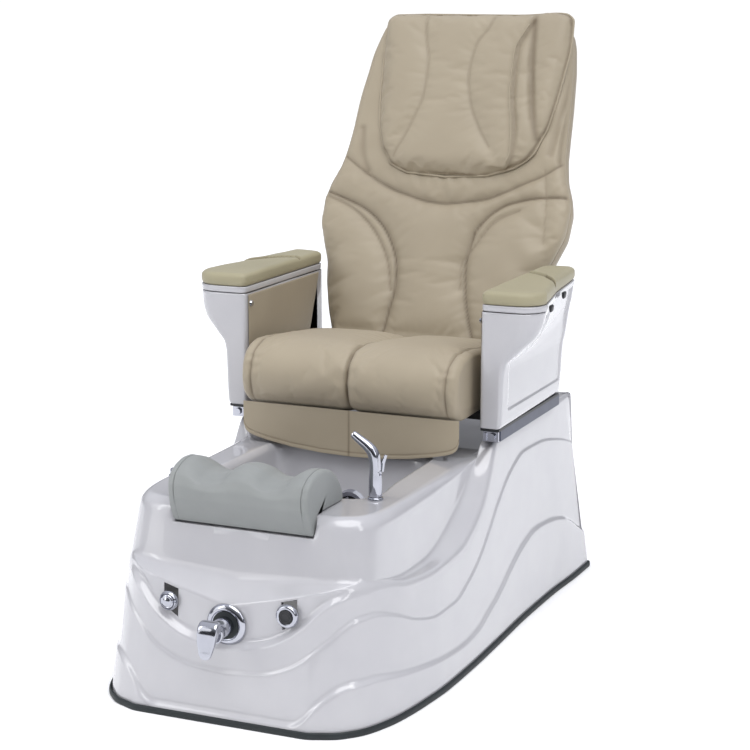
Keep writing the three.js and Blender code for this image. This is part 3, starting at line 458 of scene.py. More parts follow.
SMILE_LINE = [
    [0, -800, 163], [96, -800, 181], [130, -799, 196], [160, -798, 214], [192, -794, 240], [218, -785, 266],
    [250, -765, 286], [285, -738, 291], [330, -655, 284], [342, -590, 269], [352, -460, 257], [352, -325, 264],
    [350, -246, 288], [349, -171, 329], [347, -107, 397], [346, -78, 442], [345, -66, 461], [338, 520, 462],
    [0, 520, 462]]
MID_WAVE_LINE = [
    [0, -812, 110], [94, -812, 118], [150, -811, 137], [180, -808, 155], [207, -802, 175], [235, -792, 197],
    [262, -775, 219], [286, -745, 237], [310, -700, 242], [330, -635, 226], [346, -550, 194], [356, -454, 176],
    [358, -363, 177], [358, -280, 201], [357, -216, 227], [355, -133, 280], [353, -59, 335], [350, 32, 385],
    [349, 130, 411], [348, 242, 407], [347, 405, 377], [346, 530, 335], [0, 535, 335]]
LOW_WAVE_LINE = [
    [0, -826, 20], [165, -826, 20], [190, -822, 34], [212, -815, 59], [240, -806, 84], [275, -782, 104],
    [315, -725, 108], [345, -632, 96], [360, -527, 83], [366, -424, 73], [368, -336, 68], [367, -237, 76],
    [366, -170, 94], [364, -98, 114], [362, -7, 149], [360, 94, 183], [360, 191, 200], [360, 293, 193],
    [364, 386, 176], [370, 446, 156], [375, 520, 118], [376, 545, 104], [0, 550, 104]]
print("base lines read")

# %% [markdown]
# All lines are sampled along one fan of rays from a point inside the bowl, so the same column of points climbs
# from the floor over every wave and into the bowl. The fan is spaced evenly along the floor line.

# %% The fan of rays
FAN_Y = -330.0
HALF_COLUMNS = 251


def fan_angle(curve):
    """The angle of each point seen from the fan's centre, measured from straight ahead, never decreasing."""
    return np.maximum.accumulate(np.arctan2(curve[:, 0], FAN_Y - curve[:, 1]))


foot = half_line(FLOOR_LINE)
foot_angles = fan_angle(foot)
fan = np.interp(np.linspace(0, len(foot) - 1, HALF_COLUMNS), np.arange(len(foot)), foot_angles)
fan[0], fan[-1] = 0.0, math.pi


def ring(knots, width=6.0):
    """A full ring: the half outline read along the fan, then its mirror image back to the front."""
    curve = half_line(knots, width)
    angle = fan_angle(curve)
    half = np.stack([np.interp(fan, angle, curve[:, a]) for a in range(3)], 1)
    half[[0, -1], 0] = 0.0
    return np.concatenate([half, half[1:-1][::-1] * [-1.0, 1.0, 1.0]])


def inset(points, distance):
    """Each point moved to the left of the ring's own direction, in plan, by a distance."""
    along = np.roll(points, -1, 0) - np.roll(points, 1, 0)
    along = along / np.maximum(np.hypot(along[:, 0], along[:, 1]), 1e-9)[:, None]
    distance = np.broadcast_to(distance, len(points))
    return points + np.stack([-along[:, 1] * distance, along[:, 0] * distance, np.zeros(len(points))], 1)


def at_height(points, z):
    """The same plan at another height, one number or one per point."""
    return np.concatenate([points[:, :2], np.broadcast_to(z, len(points))[:, None]], 1)


floor_ring, crown_ring = ring(FLOOR_LINE), ring(CROWN_LINE)
low_z, mid_z, smile_z, ledge_z = (ring(line)[:, 2] for line in (LOW_WAVE_LINE, MID_WAVE_LINE, SMILE_LINE, LEDGE_LINE))
tub_foot, rim, bowl, bowl_floor = ring(TUB_FOOT_LINE), ring(RIM_LINE), ring(BOWL_LINE), ring(BOWL_FLOOR_LINE)
fan_degrees = np.degrees(np.concatenate([fan, fan[1:-1][::-1]]))
front = np.clip((34.0 - fan_degrees) / 8.0, 0.0, 1.0)


def skirt(z, distance):
    """The tapering side at a height: the share of the way from floor to crown, then set in."""
    t = (np.broadcast_to(z, len(floor_ring)) - 2.0) / 477.0
    plan = floor_ring + (crown_ring - floor_ring) * t[:, None]
    return inset(at_height(plan, z), distance)


print(len(floor_ring), "columns round the base")

# %% [markdown]
# Stacking the rings gives the profile of the moulding: up the skirt, a small step at each wave, over the ledge,
# up the tub, across the rim and down into the bowl. A mould has no sharp corners, so each ring is exchanged for
# a short curve from a little before it to a little after. The same is done underneath, which makes one skin
# 8 mm thick. Faces are left out where the bath jet blows in and behind the two push buttons, so that the caps
# can be pressed in. The rows lie far apart at the buttons, so those openings come out taller than the rings
# that should hide them and a dark edge shows; closer rows there would mend it.

# %% The base moulding
def fill_long(rows, most=9.0):
    """Adds straight rows between neighbours that lie further apart than `most`."""
    parts = []
    for a, b in zip(rows[:-1], rows[1:]):
        n = max(1, int(np.ceil(np.linalg.norm(b - a, axis=1).mean() / most)))
        parts.append(a + (b - a) * (np.arange(n) / n)[:, None, None])
    return np.concatenate(parts + [rows[-1:]])


def rounded_rows(rings, radii, steps=6):
    """Each inner ring P becomes the quadratic curve (1-t)^2 A + 2t(1-t) P + t^2 B, where A and B lie a radius
    before and after P on the straight lines to its neighbours."""
    t = np.linspace(0.0, 1.0, steps)[:, None, None]
    rows = [rings[:1]]
    for k in range(1, len(rings) - 1):
        sides = []
        for other in (rings[k - 1], rings[k + 1]):
            gap = other - rings[k]
            length = np.linalg.norm(gap, axis=1)[:, None]
            sides.append(rings[k] + gap * np.minimum(radii[k] / np.maximum(length, 1e-6), 0.48))
        rows.append((1 - t) ** 2 * sides[0] + 2 * t * (1 - t) * rings[k] + t**2 * sides[1])
    rows.append(rings[-1:])
    return np.concatenate(rows)


WALL = 8.0
between = tub_foot + (rim - tub_foot) * 0.69
shoulder = tub_foot + (rim - tub_foot) * 0.88
outside = np.stack([
    skirt(2.0, 0.0), skirt(low_z - 5, 0.0), skirt(low_z + 5, 7.0), skirt(mid_z - 5, 7.0), skirt(mid_z + 3, 11.0),
    skirt(smile_z - 7, 10 - 12 * front), skirt(smile_z + 7, 11 + 3 * front), skirt(ledge_z, 15 - 13 * front),
    tub_foot, between, shoulder, at_height(inset(rim, 13.0), 440.0), at_height(inset(bowl, -8.0), 440.0),
    at_height(inset(bowl, 3.0), 429.0), bowl + (bowl_floor - bowl) * 0.96, at_height(inset(bowl_floor, 9.0), 182.0),
    at_height(inset(bowl_floor, 60.0), 182.0)])
OUTSIDE_RADII = [0, 4.5, 6, 4, 5, 4.5, 8, 6, 13, 3, 14, 9, 7, 9, 20, 20, 0]
outside = fill_long(rounded_rows(outside, OUTSIDE_RADII))
NOTCH_HALF, NOTCH_Z = 168.0, 394.0
in_notch = (np.abs(outside[..., 0]) < NOTCH_HALF + 1) & (outside[..., 1] < -690) & (outside[..., 2] > NOTCH_Z)
outside[..., 2] = np.where(in_notch, NOTCH_Z, outside[..., 2])
under = np.clip((447 - tub_foot[:, 2]) / 8, -1, 1) * WALL
inside = np.stack([
    skirt(2.0, WALL + 4), skirt(mid_z, WALL + 10), skirt(smile_z, WALL + 11 + 3 * front),
    skirt(ledge_z - WALL, WALL + 15 - 9 * front), inset(tub_foot, under) - [0, 0, WALL],
    inset(shoulder, under) - [0, 0, WALL], at_height(inset(rim, 13 + WALL), 440 - WALL),
    at_height(inset(bowl, -8 - WALL), 440 - WALL), at_height(inset(bowl, -6.0), 429 - WALL),
    at_height(inset(bowl_floor, -WALL), 200.0), at_height(inset(bowl_floor, 6.0), 182 - WALL)])
inside[..., 2] = np.where(
    (np.abs(inside[..., 0]) < NOTCH_HALF + 12) & (inside[..., 1] < -682) & (inside[..., 2] > NOTCH_Z - WALL),
    NOTCH_Z - WALL, inside[..., 2])
shell_rows = close_ends(np.concatenate([inside[::-1], outside]))
shell_faces = grid_faces(len(shell_rows), shell_rows.shape[1])
shell_points = shell_rows.reshape(-1, 3)
JET, JET_HOLE = (0.0, 300.0), 36
BUTTONS, BUTTON_HOLE = {"left": (-138.0, 243.0), "right": (143.0, 246.0)}, 19.5
middles = shell_points[shell_faces].mean(1)
open_jet = np.hypot(middles[:, 0] - JET[0], middles[:, 2] - JET[1]) < JET_HOLE
open_jet &= np.abs(middles[:, 1] + 150) < 30
open_holes = np.logical_or.reduce([np.hypot(middles[:, 0] - x, middles[:, 2] - z) < BUTTON_HOLE
                                   for x, z in BUTTONS.values()]) & (middles[:, 1] < -765)
moulding = add_piece("base_moulding", to_frame(shell_points), shell_faces[~(open_jet | open_holes)], gelcoat,
                     "base", ["base_shell"], sharp=60)
print("moulding:", len(moulding.data.polygons), "faces")

# %% [markdown]
# A black rubber band is pushed over the bottom edge, to keep mop water out. It is one profile carried round
# the floor line: a rounded outer face, a lip over the top, and a foot turned under the edge.

# %% Rubber edge band
BAND_PROFILE = [(-4.2, 0.4), (-5.6, 3.0), (-5.9, 7.0), (-5.4, 11.5), (-4.0, 14.6), (-2.2, 15.4), (-1.0, 14.8),
                (-0.7, 8.0), (-0.7, 1.7), (12.5, 1.7), (13.0, 0.9), (12.5, 0.1), (-2.8, 0.0)]
band = np.stack([at_height(inset(floor_ring, d), z) for d, z in BAND_PROFILE])
loft_piece("edge_band", band, black_rubber, "base", ["base_trim"], wrap_rows=True, sharp=80)
print("band is", round(float(np.ptp(band[..., 1])), 1), "mm long")

# %% [markdown]
# The footrest is one block of skinned foam with two troughs for the calves. Its side profile is carried across
# from end to end; each point of the profile knows how far it drops where a trough is deepest. Near both ends
# a groove shows where the end caps are bonded on.

# %% Footrest
def resample(points, steps, closed=True):
    """Points evenly spaced by length along a polyline."""
    p = np.asarray(points, float)
    p = np.concatenate([p, p[:1]]) if closed else p
    along = np.concatenate([[0.0], np.cumsum(np.linalg.norm(np.diff(p, axis=0), axis=1))])
    at = np.linspace(0.0, along[-1], steps, endpoint=not closed)
    return np.stack([np.interp(at, along, p[:, a]) for a in range(p.shape[1])], 1)


FOOTREST_PROFILE = [
    (-556, 440.9, 0), (-622, 440.9, 0), (-688, 440.9, 0), (-690, 436, 0), (-690, 397.6, 0), (-709, 397.6, 0),
    (-722, 424, 0), (-735, 456, 0), (-737, 484, 8), (-726, 507, 18), (-702, 522, 26), (-672, 530, 28),
    (-640, 529, 27), (-612, 520, 24), (-586, 503, 18), (-566, 480, 10), (-554, 455, 2)]
TROUGH_AT = [-170, -138, -116, -94, -74, -52, -28, 0, 28, 52, 74, 94, 116, 138, 170]
TROUGH_SHARE = [0, 0.02, 0.35, 0.85, 1, 0.85, 0.3, 0.05, 0.3, 0.85, 1, 0.85, 0.35, 0.02, 0]
END_X = 166.0
GROOVE_X = 151.0
profile = soften(resample(FOOTREST_PROFILE, 300), 2.4)
half_x = np.concatenate([np.linspace(0, 146, 50), np.linspace(148, 155, 15), np.linspace(157, END_X, 12)])
stations = np.concatenate([-half_x[::-1], half_x[1:]])
share = soften(smooth_values(TROUGH_AT, TROUGH_SHARE, stations)[:, None], 1.0, mirror=np.array([1.0]))[:, 0]
beyond = np.maximum(np.abs(stations) - (END_X - 9), 0) / 9
edge = 8.0 * (1 - np.sqrt(np.maximum(1 - beyond**2, 0)))
groove = 2.6 * np.exp(-((np.abs(stations) - GROOVE_X) / 1.1) ** 2)
middle = np.array([-645.0, 470.0])
arm_of = profile[:, :2] - middle
length = np.linalg.norm(arm_of, axis=1)
low = np.clip((profile[:, 1] - 430) / 25, 0, 1)
shrink = (edge + groove)[:, None] * np.maximum(low, 0.25)[None, :] / length
plan = middle + arm_of * (1 - shrink[..., None])
block = np.empty((len(stations), len(profile), 3))
block[..., 0] = stations[:, None]
block[..., 1] = plan[..., 0]
block[..., 2] = plan[..., 1] - share[:, None] * profile[:, 2]
caps = [block[0] * [1, 0, 0] + (block[0] * [0, 1, 1] - [0, *middle]) * k + [0, *middle] for k in (0.03, 0.5, 0.9)]
caps_end = [c * [-1, 1, 1] for c in caps[::-1]]
block = np.concatenate([np.stack(caps), block, np.stack(caps_end)])
footrest = loft_piece("foam_footrest", block, foam_skin, "leg_rest", ["footrest"], sharp=70)
print("footrest:", len(footrest.data.polygons), "faces")

# %% [markdown]
# The arms are hollow mouldings. Seen from above each is a long box whose front corner swells outwards near
# the top to carry the wide lid. On the outside a shallow panel is pressed in; a curved edge divides it from
# the swelling, and a raised border follows the bottom and the rear. The panel's depth is a smooth step of the
# distance to that edge. The left arm is the mirror image of the right.

# %% Arm mouldings
ARM_INNER_X = 304.0
ARM_SECTIONS = np.array([
    [512, 352, 351, 348, 8], [522, 356, 355, 353, 9], [560, 358, 358, 357, 9], [640, 361, 361, 362, 10],
    [664, 366, 366, 367, 12], [690, 390, 376, 371, 22], [730, 428, 394, 377, 40], [760, 440, 405, 383, 50],
    [787, 444, 412, 387, 56]], float)


def arm_plan(front_x, middle_x, rear_x, corner, z, grow=0.0, y_front=-97.0, y_rear=351.0):
    """The outline of an arm from above at each height: inner front corner, inner rear, round the back, along
    the outside through the middle to the rounded front corner. The arguments are numbers or equal arrays."""
    f, m, r, c, z = np.broadcast_arrays(*(np.asarray(v, float) for v in (front_x, middle_x, rear_x, corner, z)))
    f, m, r = f + grow, m + grow, r + grow
    y0, y1 = y_front - grow + 0 * f, y_rear + grow + 0 * f
    x0 = ARM_INNER_X - grow * (grow < 0) + 0 * f
    corners = [(x0, y0), (x0, y1), (r - 8, y1), (r - 2, y1 - 2), (r, y1 - 10), (m, 130 + 0 * f)]
    corners += [(f - c * (1 - math.cos(a)), y0 + c * (1 - math.sin(a))) for a in np.linspace(0, math.pi / 2, 9)]
    return np.stack([np.stack([x, y, z], -1) for x, y in corners], -2)


SIDE_COLUMNS = [60, 8, 3, 3, 80, 120, 3, 3, 3, 3, 3, 3, 3, 3, 12]


def ring_columns(knots, counts, width):
    """Straight steps between the knots of every row, then softened along the ring."""
    knots = np.concatenate([knots, knots[..., :1, :]], -2)
    parts = []
    for k, n in enumerate(counts):
        t = (np.arange(n) / n)[:, None]
        parts.append(knots[..., k, None, :] * (1 - t) + knots[..., k + 1, None, :] * t)
    grid = np.concatenate(parts, -2)
    flat = np.moveaxis(grid, -2, 0).reshape(grid.shape[-2], -1)
    return np.moveaxis(soften(flat, width).reshape(grid.shape[-2], *grid.shape[:-2], 3), 0, -2)


def smooth_step(x):
    """0 below 0, 1 above 1, and 3x^2 - 2x^3 between."""
    x = np.clip(x, 0.0, 1.0)
    return x * x * (3 - 2 * x)


rows_z = np.concatenate([np.linspace(512, 516, 4), np.linspace(519, 782, 130), np.linspace(783.5, 787, 4)])
section = smooth_values(ARM_SECTIONS[:, 0], ARM_SECTIONS[:, 1:], rows_z)
side = ring_columns(arm_plan(*section.T, rows_z), SIDE_COLUMNS, 1.3)
EDGE_Z = [505, 640, 655, 664, 672, 682, 695, 708, 730, 753, 787]
EDGE_Y = [-50, -59, -62, -66, -66, -60, -52, -44, -33, -26, -20]
panel_from = smooth_values(EDGE_Z, EDGE_Y, rows_z)[:, None]
outer_side = smooth_step((side[..., 0] - 330) / 12)
y, z = side[..., 1], side[..., 2]
behind_edge = smooth_step((y - panel_from) / 15)
above_border = smooth_step((z - 546) / 8)
before_rear = smooth_step((334 - y) / 8)
flare_step = 3.4 + 1.8 * smooth_step((z - 668) / 40)
depth = outer_side * behind_edge * (flare_step * above_border * before_rear)
side[..., 0] -= depth
rim_round = np.concatenate([[2.4, 1.0, 0.3, 0.0], np.zeros(130), [0.0, 0.3, 1.0, 2.4]])
inwards = np.array([330.0, 127.0, 0.0]) - side * [1, 1, 0]
side = side + inwards / np.maximum(np.linalg.norm(inwards, axis=-1, keepdims=True), 1) * rim_round[:, None, None]
section_in = arm_plan(*section.T, rows_z, grow=-4.0)
lining = ring_columns(section_in, SIDE_COLUMNS, 1.3)
lining[..., 0] = np.minimum(lining[..., 0], side[..., 0] - 2.0 * (side[..., 0] > 330))
lining[0, :, 2] = 512.0
lining[-4:, :, 2] = 783.0
SIDES = [("left", -1.0), ("right", 1.0)]
for word, sign in SIDES:
    walls = np.concatenate([side, lining[::-1]]) * [sign, 1, 1]
    shell = loft_piece("arm_moulding_" + word, walls, gelcoat, "seat_carriage",
                       ["arm_shell_" + word], wrap_rows=True, sharp=75)
print("arms:", len(shell.data.polygons), "faces each")

# %% [markdown]
# Above each arm sit a thin white lid and the padded rest. Both follow the arm's plan at its widest. The lid
# has rounded edges; the rest is foam under leather, higher in the middle, rolled at the rim, with a curved
# parting where the rear part is folded over: the surface steps up behind it and a slit runs along it.

# %% Arm lids and rests
def plan_rows(levels, sign, counts=None, width=1.6):
    """Rings of the lid's plan: each level is (height, growth)."""
    z, grow = np.array([lv[0] for lv in levels], float), np.array([lv[1] for lv in levels], float)
    rows = [arm_plan(446, 414, 389, 57, zz, grow=g) for zz, g in zip(z, grow)]
    return ring_columns(np.stack(rows), counts or SIDE_COLUMNS, width) * [sign, 1, 1]


LID_LEVELS = [(789.0, -9), (789.0, -3), (789.2, -1.2), (790.2, -0.3), (792, 0), (801, 0), (802.6, -0.4),
              (803.4, -1.4), (803.6, -3), (803.6, -9)]
roll = np.linspace(0, math.pi / 2, 9)
PAD_LEVELS = [(804.1, -9), (804.1, -5)] + [(805 + 12 * (1 - math.cos(a)), -4 + 4.4 * math.sin(a)) for a in roll[1:]]
PAD_LEVELS += [(823 + 13.4 * math.sin(a), 0.4 - 15 * (1 - math.cos(a))) for a in roll[1:]]


def fill_in(ring_row, steps, lift):
    """Rows that shrink from a ring towards its spine line, raised by `lift` times a smooth hump."""
    spine = ring_row.copy()
    spine[:, 0] = (ring_row[:, 0].min() + ring_row[:, 0].max()) / 2 + 0 * spine[:, 0]
    spine[:, 1] = np.clip(ring_row[:, 1], ring_row[:, 1].min() + 60, ring_row[:, 1].max() - 40)
    k = (np.arange(1, steps + 1) / steps)[:, None, None]
    rows = ring_row[None] * (1 - k) + spine[None] * k
    rows[..., 2] += lift * smooth_step(k[..., 0])
    return rows


PARTING = [(300, 222), (318, 209), (345, 190), (371, 164), (400, 128), (420, 102), (432, 86)]
part_line = resample(PARTING, 60, closed=False)


def signed_gap(points, line):
    """The distance from each point to a polyline, positive to its left, and how far along the nearest spot is."""
    best = np.full(points.shape[:-1], 1e9)
    signed, along = best.copy(), best.copy()
    for k, (a, b) in enumerate(zip(line[:-1], line[1:])):
        d = b - a
        t = np.clip(((points - a) @ d) / (d @ d), 0, 1)
        gap = points - a - t[..., None] * d
        dist = np.hypot(gap[..., 0], gap[..., 1])
        nearer = dist < best
        best = np.where(nearer, dist, best)
        side_of = d[0] * gap[..., 1] - d[1] * gap[..., 0]
        signed = np.where(nearer, dist * np.where(side_of >= 0, 1, -1), signed)
        along = np.where(nearer, (k + t) / (len(line) - 1), along)
    return signed, along


def set_painted_shade(piece, values):
    """Stores the painted shade of each point, which darkens the leather's colour at seams, folds and shaded faces."""
    layer = piece.data.attributes.get("painted_shade") or piece.data.attributes.new("painted_shade", "FLOAT", "POINT")
    layer.data.foreach_set("value", np.asarray(values, np.float32).ravel())


def points_of(piece):
    """The mesh points as an array, in drawing millimetres."""
    flat = np.empty(len(piece.data.vertices) * 3, np.float32)
    piece.data.vertices.foreach_get("co", flat)
    return flat.reshape(-1, 3).astype(float) / MM - [0, DATUM_Y, 0]


def set_points(piece, points):
    """Writes drawing millimetres back as mesh points."""
    piece.data.vertices.foreach_set("co", to_frame(points).astype(np.float32).ravel())
    piece.data.update()


for word, sign in SIDES:
    lid = plan_rows(LID_LEVELS, sign)
    loft_piece("arm_lid_cover_" + word, lid, gelcoat, "armrest_" + word, ["arm_lid_" + word], sharp=80)
    pad = plan_rows(PAD_LEVELS, sign)
    pad = np.concatenate([pad, fill_in(pad[-1], 26, 1.5)])
    plan = pad[..., :2] * [sign, 1]
    gap, along = signed_gap(plan, part_line)
    top = smooth_step((pad[..., 2] - 818) / 14)
    here = top * smooth_step(along / 0.12) * smooth_step((1 - along) / 0.12)
    pad[..., 2] += here * (4.5 * smooth_step((gap + 1) / 3) * np.exp(-np.maximum(gap, 0) / 45))
    pad[..., 2] -= here * 6.5 * np.exp(-((gap + 1.0) / 2.6) ** 2)
    pad[..., 2] += top * 0.6 * np.sin(pad[..., 1] / 31 + pad[..., 0] / 17) * np.cos(pad[..., 1] / 57)
    rest = loft_piece("arm_rest_" + word, pad, arm_hide, "armrest_" + word, ["arm_pad_" + word],
                      ends=(True, False), sharp=85)
    plan_now = points_of(rest)
    gap, along = signed_gap(plan_now[:, :2] * [sign, 1], part_line)
    # painted shade in the slit along the parting and along the pad's lower edge where it sits on the lid
    set_painted_shade(rest, np.exp(-((gap + 1) / 3.0) ** 2) * (plan_now[:, 2] > 822) * (along > 0.05) * (along < 0.95)
             + 0.7 * np.exp(-((plan_now[:, 2] - 804) / 1.6) ** 2))
print("rests:", len(rest.data.polygons), "faces each")

# %% [markdown]
# Each lid turns on two small black clips on the outer edge: a rounded barrel with a short leaf below it. Barrel
# and leaf are one bar along the arm whose section is a drop.

# %% Lid hinges
CLIP_Z = 796.0
drop_angle = np.arange(40) * 2 * math.pi / 40
drop_x = 3.8 * np.cos(drop_angle) - 0.4
drop_z = np.where(np.sin(drop_angle) < 0, 13.0, 4.2) * np.sin(drop_angle)
across = np.array([-8.6, -8.2, -7.4, -5, 0, 5, 7.4, 8.2, 8.6])
size = np.array([0.55, 0.8, 0.95, 1, 1, 1, 0.95, 0.8, 0.55])
for word, sign in SIDES:
    for end, y, x in (("front", -12.0, 443.6), ("rear", 178.0, 411.5)):
        hinge = "lid_hinge_%s_%s" % (word, end)
        clip_x = x + 4.4 + size[:, None] * drop_x
        clip_y = np.broadcast_to(y + across[:, None], clip_x.shape)
        clip = np.stack([clip_x, clip_y, CLIP_Z + size[:, None] * drop_z], -1) * [sign, 1, 1]
        loft_piece("lid_clip_%s_%s" % (word, end), clip, black_plastic, body_of_node[hinge],
                   [hinge], sharp=70)
print("four lid clips rounded")

# %% [markdown]
# Inside each arm a thin leather-covered board is fixed with one screw. It is a flat outline with rolled edges,
# barely crowned. The same sewn-pad routine serves every cushion made of two sheets: a grid fills the outline,
# one sheet in front and one behind, and the two meet round the edge in a quarter circle.

# %% Two sheets sewn along an outline
def sewn_grid(low_edge, high_edge, columns, rows, roll, front, rear, dense=2.0):
    """Sheets between two edges given as (rows, 2) arrays in the sheet's plane. A point lies a share u of the
    way from low to high edge. Its offset is front (or rear) times sqrt(1 - (1 - d/roll)^2), where d is the
    distance to the outline, and full inside the roll."""
    sweep = np.linspace(0, math.pi, columns)
    u = 0.5 - 0.5 * np.cos(sweep) * (1 - 0.35 * np.sin(sweep) ** 2)
    flat = low_edge[:, None] * (1 - u[None, :, None]) + high_edge[:, None] * u[None, :, None]
    outline = np.concatenate([flat[0], flat[1:, -1], flat[-1, ::-1][1:], flat[::-1, 0][1:-1]])
    gap, _ = signed_gap(flat, np.concatenate([outline, outline[:1]]))
    d = np.abs(gap)
    d[0], d[-1], d[:, 0], d[:, -1] = 0, 0, 0, 0
    swell = np.sqrt(1 - (1 - np.clip(d / roll, 0, 1)) ** 2)
    return flat, d, swell * front, swell * rear


def two_sheets(flat, high, low):
    """Grid (u, v) with heights in front and behind becomes one closed ring grid: front row, then rear row back."""
    front_sheet = np.concatenate([flat, high[..., None]], -1)
    rear_sheet = np.concatenate([flat, low[..., None]], -1)
    return np.concatenate([front_sheet, rear_sheet[:, ::-1][:, 1:-1]], 1)


PANEL_LOW_Z = 545.0
panel_y = np.linspace(-84, 316, 110)
panel_top = np.interp(panel_y, [-84, 316], [784, 784])
panel_low = np.interp(panel_y, [-84, 222, 316], [PANEL_LOW_Z, PANEL_LOW_Z, 779])
flat, d, high, low = sewn_grid(np.stack([panel_y, panel_low], 1), np.stack([panel_y, panel_top], 1), 50, 110, 3.5,
                               1.9, 1.4)
for word, sign in SIDES:
    sheet = two_sheets(flat, -302 + 0 * high - high - 0.7 * smooth_step(d / 60), -302 + low)
    board = np.stack([-sheet[..., 2] * sign, sheet[..., 0], sheet[..., 1]], -1)
    panel = loft_piece("arm_lining_" + word, board, hide, "seat_carriage", ["arm_panel_" + word], sharp=85)
    at = points_of(panel)
    # painted shade over the lining's face inside the arm, which lies in the arm's shadow
    set_painted_shade(panel, 0.8 * (np.abs(at[:, 0]) > 302.4))
print("linings:", len(panel.data.polygons), "faces each")

# %% [markdown]
# Cushions are made as an upholsterer makes them: a cover a little smaller than its foam, stuffed until it is
# tight. The cover is treated as cloth under pressure, held along its seams, for twenty short steps. The cloth
# bulges between the seams and pulls into small wrinkles next to them. A limit on how far a point may move
# keeps the result calm. One round of subdivision then gives the fine mesh that seams are pressed into.

# %% Stuffing a cover
def stuff(piece, held, pressure, limit, frames=20, stretch=-0.012, stiffness=9.0, bending=0.6):
    """Cloth under even pressure without gravity. `held` is 1 on points that stay. Each point's total move is
    shortened to at most `limit` metres by m * tanh(|m| / limit) / |m|."""
    group = piece.vertex_groups.new(name="held")
    levels = np.round(np.clip(held, 0, 1) * 10).astype(int)
    for level in range(1, 11):
        picked = np.nonzero(levels == level)[0]
        if len(picked):
            group.add(picked.tolist(), level / 10, "REPLACE")
    cloth = piece.modifiers.new("cover", "CLOTH")
    s = cloth.settings
    s.quality, s.mass, s.air_damping = 5, 0.35, 4.0
    s.tension_stiffness = s.compression_stiffness = stiffness
    s.shear_stiffness, s.bending_stiffness = stiffness / 2, bending
    s.shrink_min = stretch
    s.use_pressure, s.uniform_pressure_force = True, pressure
    s.vertex_group_mass = "held"
    s.effector_weights.gravity = 0.0
    cloth.collision_settings.use_collision = False
    cloth.point_cache.frame_start, cloth.point_cache.frame_end = 1, frames
    start = points_of(piece)
    for step in range(1, frames + 1):
        scene.frame_set(step)
        bpy.context.view_layer.update()
    seen = piece.evaluated_get(bpy.context.evaluated_depsgraph_get()).data
    flat_points = np.empty(len(seen.vertices) * 3, np.float32)
    seen.vertices.foreach_get("co", flat_points)
    moved = flat_points.reshape(-1, 3).astype(float) / MM - [0, DATUM_Y, 0] - start
    piece.modifiers.clear()
    scene.frame_set(1)
    size = np.linalg.norm(moved, axis=1, keepdims=True)
    cap = limit / MM
    kept = moved * np.tanh(size / cap) * cap / np.maximum(size, 1e-9)
    set_points(piece, start + kept)
    print(piece.name, "largest move", round(float(size.max()), 1), "mm, kept", round(float(np.abs(kept).max()), 1))


def refine(piece):
    """One round of Catmull-Clark subdivision, applied."""
    fine = piece.modifiers.new("fine", "SUBSURF")
    fine.levels = fine.render_levels = 1
    bpy.context.view_layer.update()
    done = bpy.data.meshes.new_from_object(piece.evaluated_get(bpy.context.evaluated_depsgraph_get()))
    piece.modifiers.clear()
    old = piece.data
    piece.data = done
    bpy.data.meshes.remove(old)
    piece.data.shade_smooth()


def normals_of(piece):
    """Unit normals of all points."""
    flat_normals = np.empty(len(piece.data.vertices) * 3, np.float32)
    piece.data.vertex_normals.foreach_get("vector", flat_normals)
    return flat_normals.reshape(-1, 3).astype(float)


# %% [markdown]
# The seat cushion is a block 0.55 m wide. Its side profile, plump at the front and falling towards the back,
# is carried across; the ends are rolled in. A seam splits it down the middle and another runs near each end,
# so the two halves swell like pillows. Stitches follow the seams on both sides.

# %% Seat cushion
CUSHION_PROFILE = [
    (-130, 529), (-158, 543), (-175, 568), (-180, 600), (-177, 632), (-165, 656), (-140, 674), (-100, 683),
    (-40, 681), (90, 667), (200, 652), (236, 645), (245, 633), (224, 594), (190, 531), (40, 529)]
SEAT_HALF = 276.0
SEAM_X = 250.0
outline = soften(resample(CUSHION_PROFILE, 176), 2.0)
seat_middle = np.array([20.0, 600.0])
flats = np.linspace(0, SEAT_HALF - 16, 42)
turn_in = SEAT_HALF - 16 + 16 * np.sin(np.linspace(0, math.pi / 2, 7))[1:]
seat_x = np.concatenate([-turn_in[::-1], -flats[:0:-1], flats, turn_in])
out = np.maximum(np.abs(seat_x) - (SEAT_HALF - 16), 0) / 16
pull = 20.0 * (1 - np.sqrt(np.maximum(1 - out**2, 0))) + 7.0 * np.exp(-(seat_x / 9.0) ** 2)
arm_of = outline - seat_middle
length = np.linalg.norm(arm_of, axis=1)
rows = seat_middle + arm_of * (1 - pull[:, None] / length)[..., None]
seat = np.concatenate([np.broadcast_to(seat_x[:, None, None], rows.shape[:2] + (1,)), rows], -1)
ends = [seat[-1] * [1, 0, 0] + [0, *seat_middle] + (seat[-1] * [0, 1, 1] - [0, *seat_middle]) * k
        + [2.0 * (1 - k), 0, 0] for k in (0.94, 0.86, 0.74, 0.6, 0.45, 0.3, 0.15)]
seat = np.concatenate([np.stack([e * [-1, 1, 1] for e in ends[::-1]]), seat, np.stack(ends)])
cushion = loft_piece("seat_pad", seat, hide, "seat_carriage", ["seat_cushion"], sharp=180)
at = points_of(cushion)
held = np.maximum.reduce([np.exp(-(at[:, 0] / 5.0) ** 2), 0.8 * np.exp(-((np.abs(at[:, 0]) - SEAM_X) / 5.0) ** 2),
                          (np.abs(at[:, 0]) > SEAT_HALF - 6) * 1.0, (at[:, 2] < 545) * 1.0, (at[:, 1] > 215) * 1.0])
stuff(cushion, held, 3.2, 0.012)
refine(cushion)
at, out_of = points_of(cushion), normals_of(cushion)
top_front = smooth_step((at[:, 2] - 545) / 25) * smooth_step((225 - at[:, 1]) / 30)
puff = 4.0 * (1 - np.exp(-np.abs(at[:, 0]) / 32)) * (1 - np.exp(-np.abs(np.abs(at[:, 0]) - SEAM_X) / 20))
pleat_phase = at[:, 2] * 0.16 + at[:, 1] * 0.11
near_ends = np.exp(-((np.abs(at[:, 0]) - SEAM_X) / 16) ** 2)
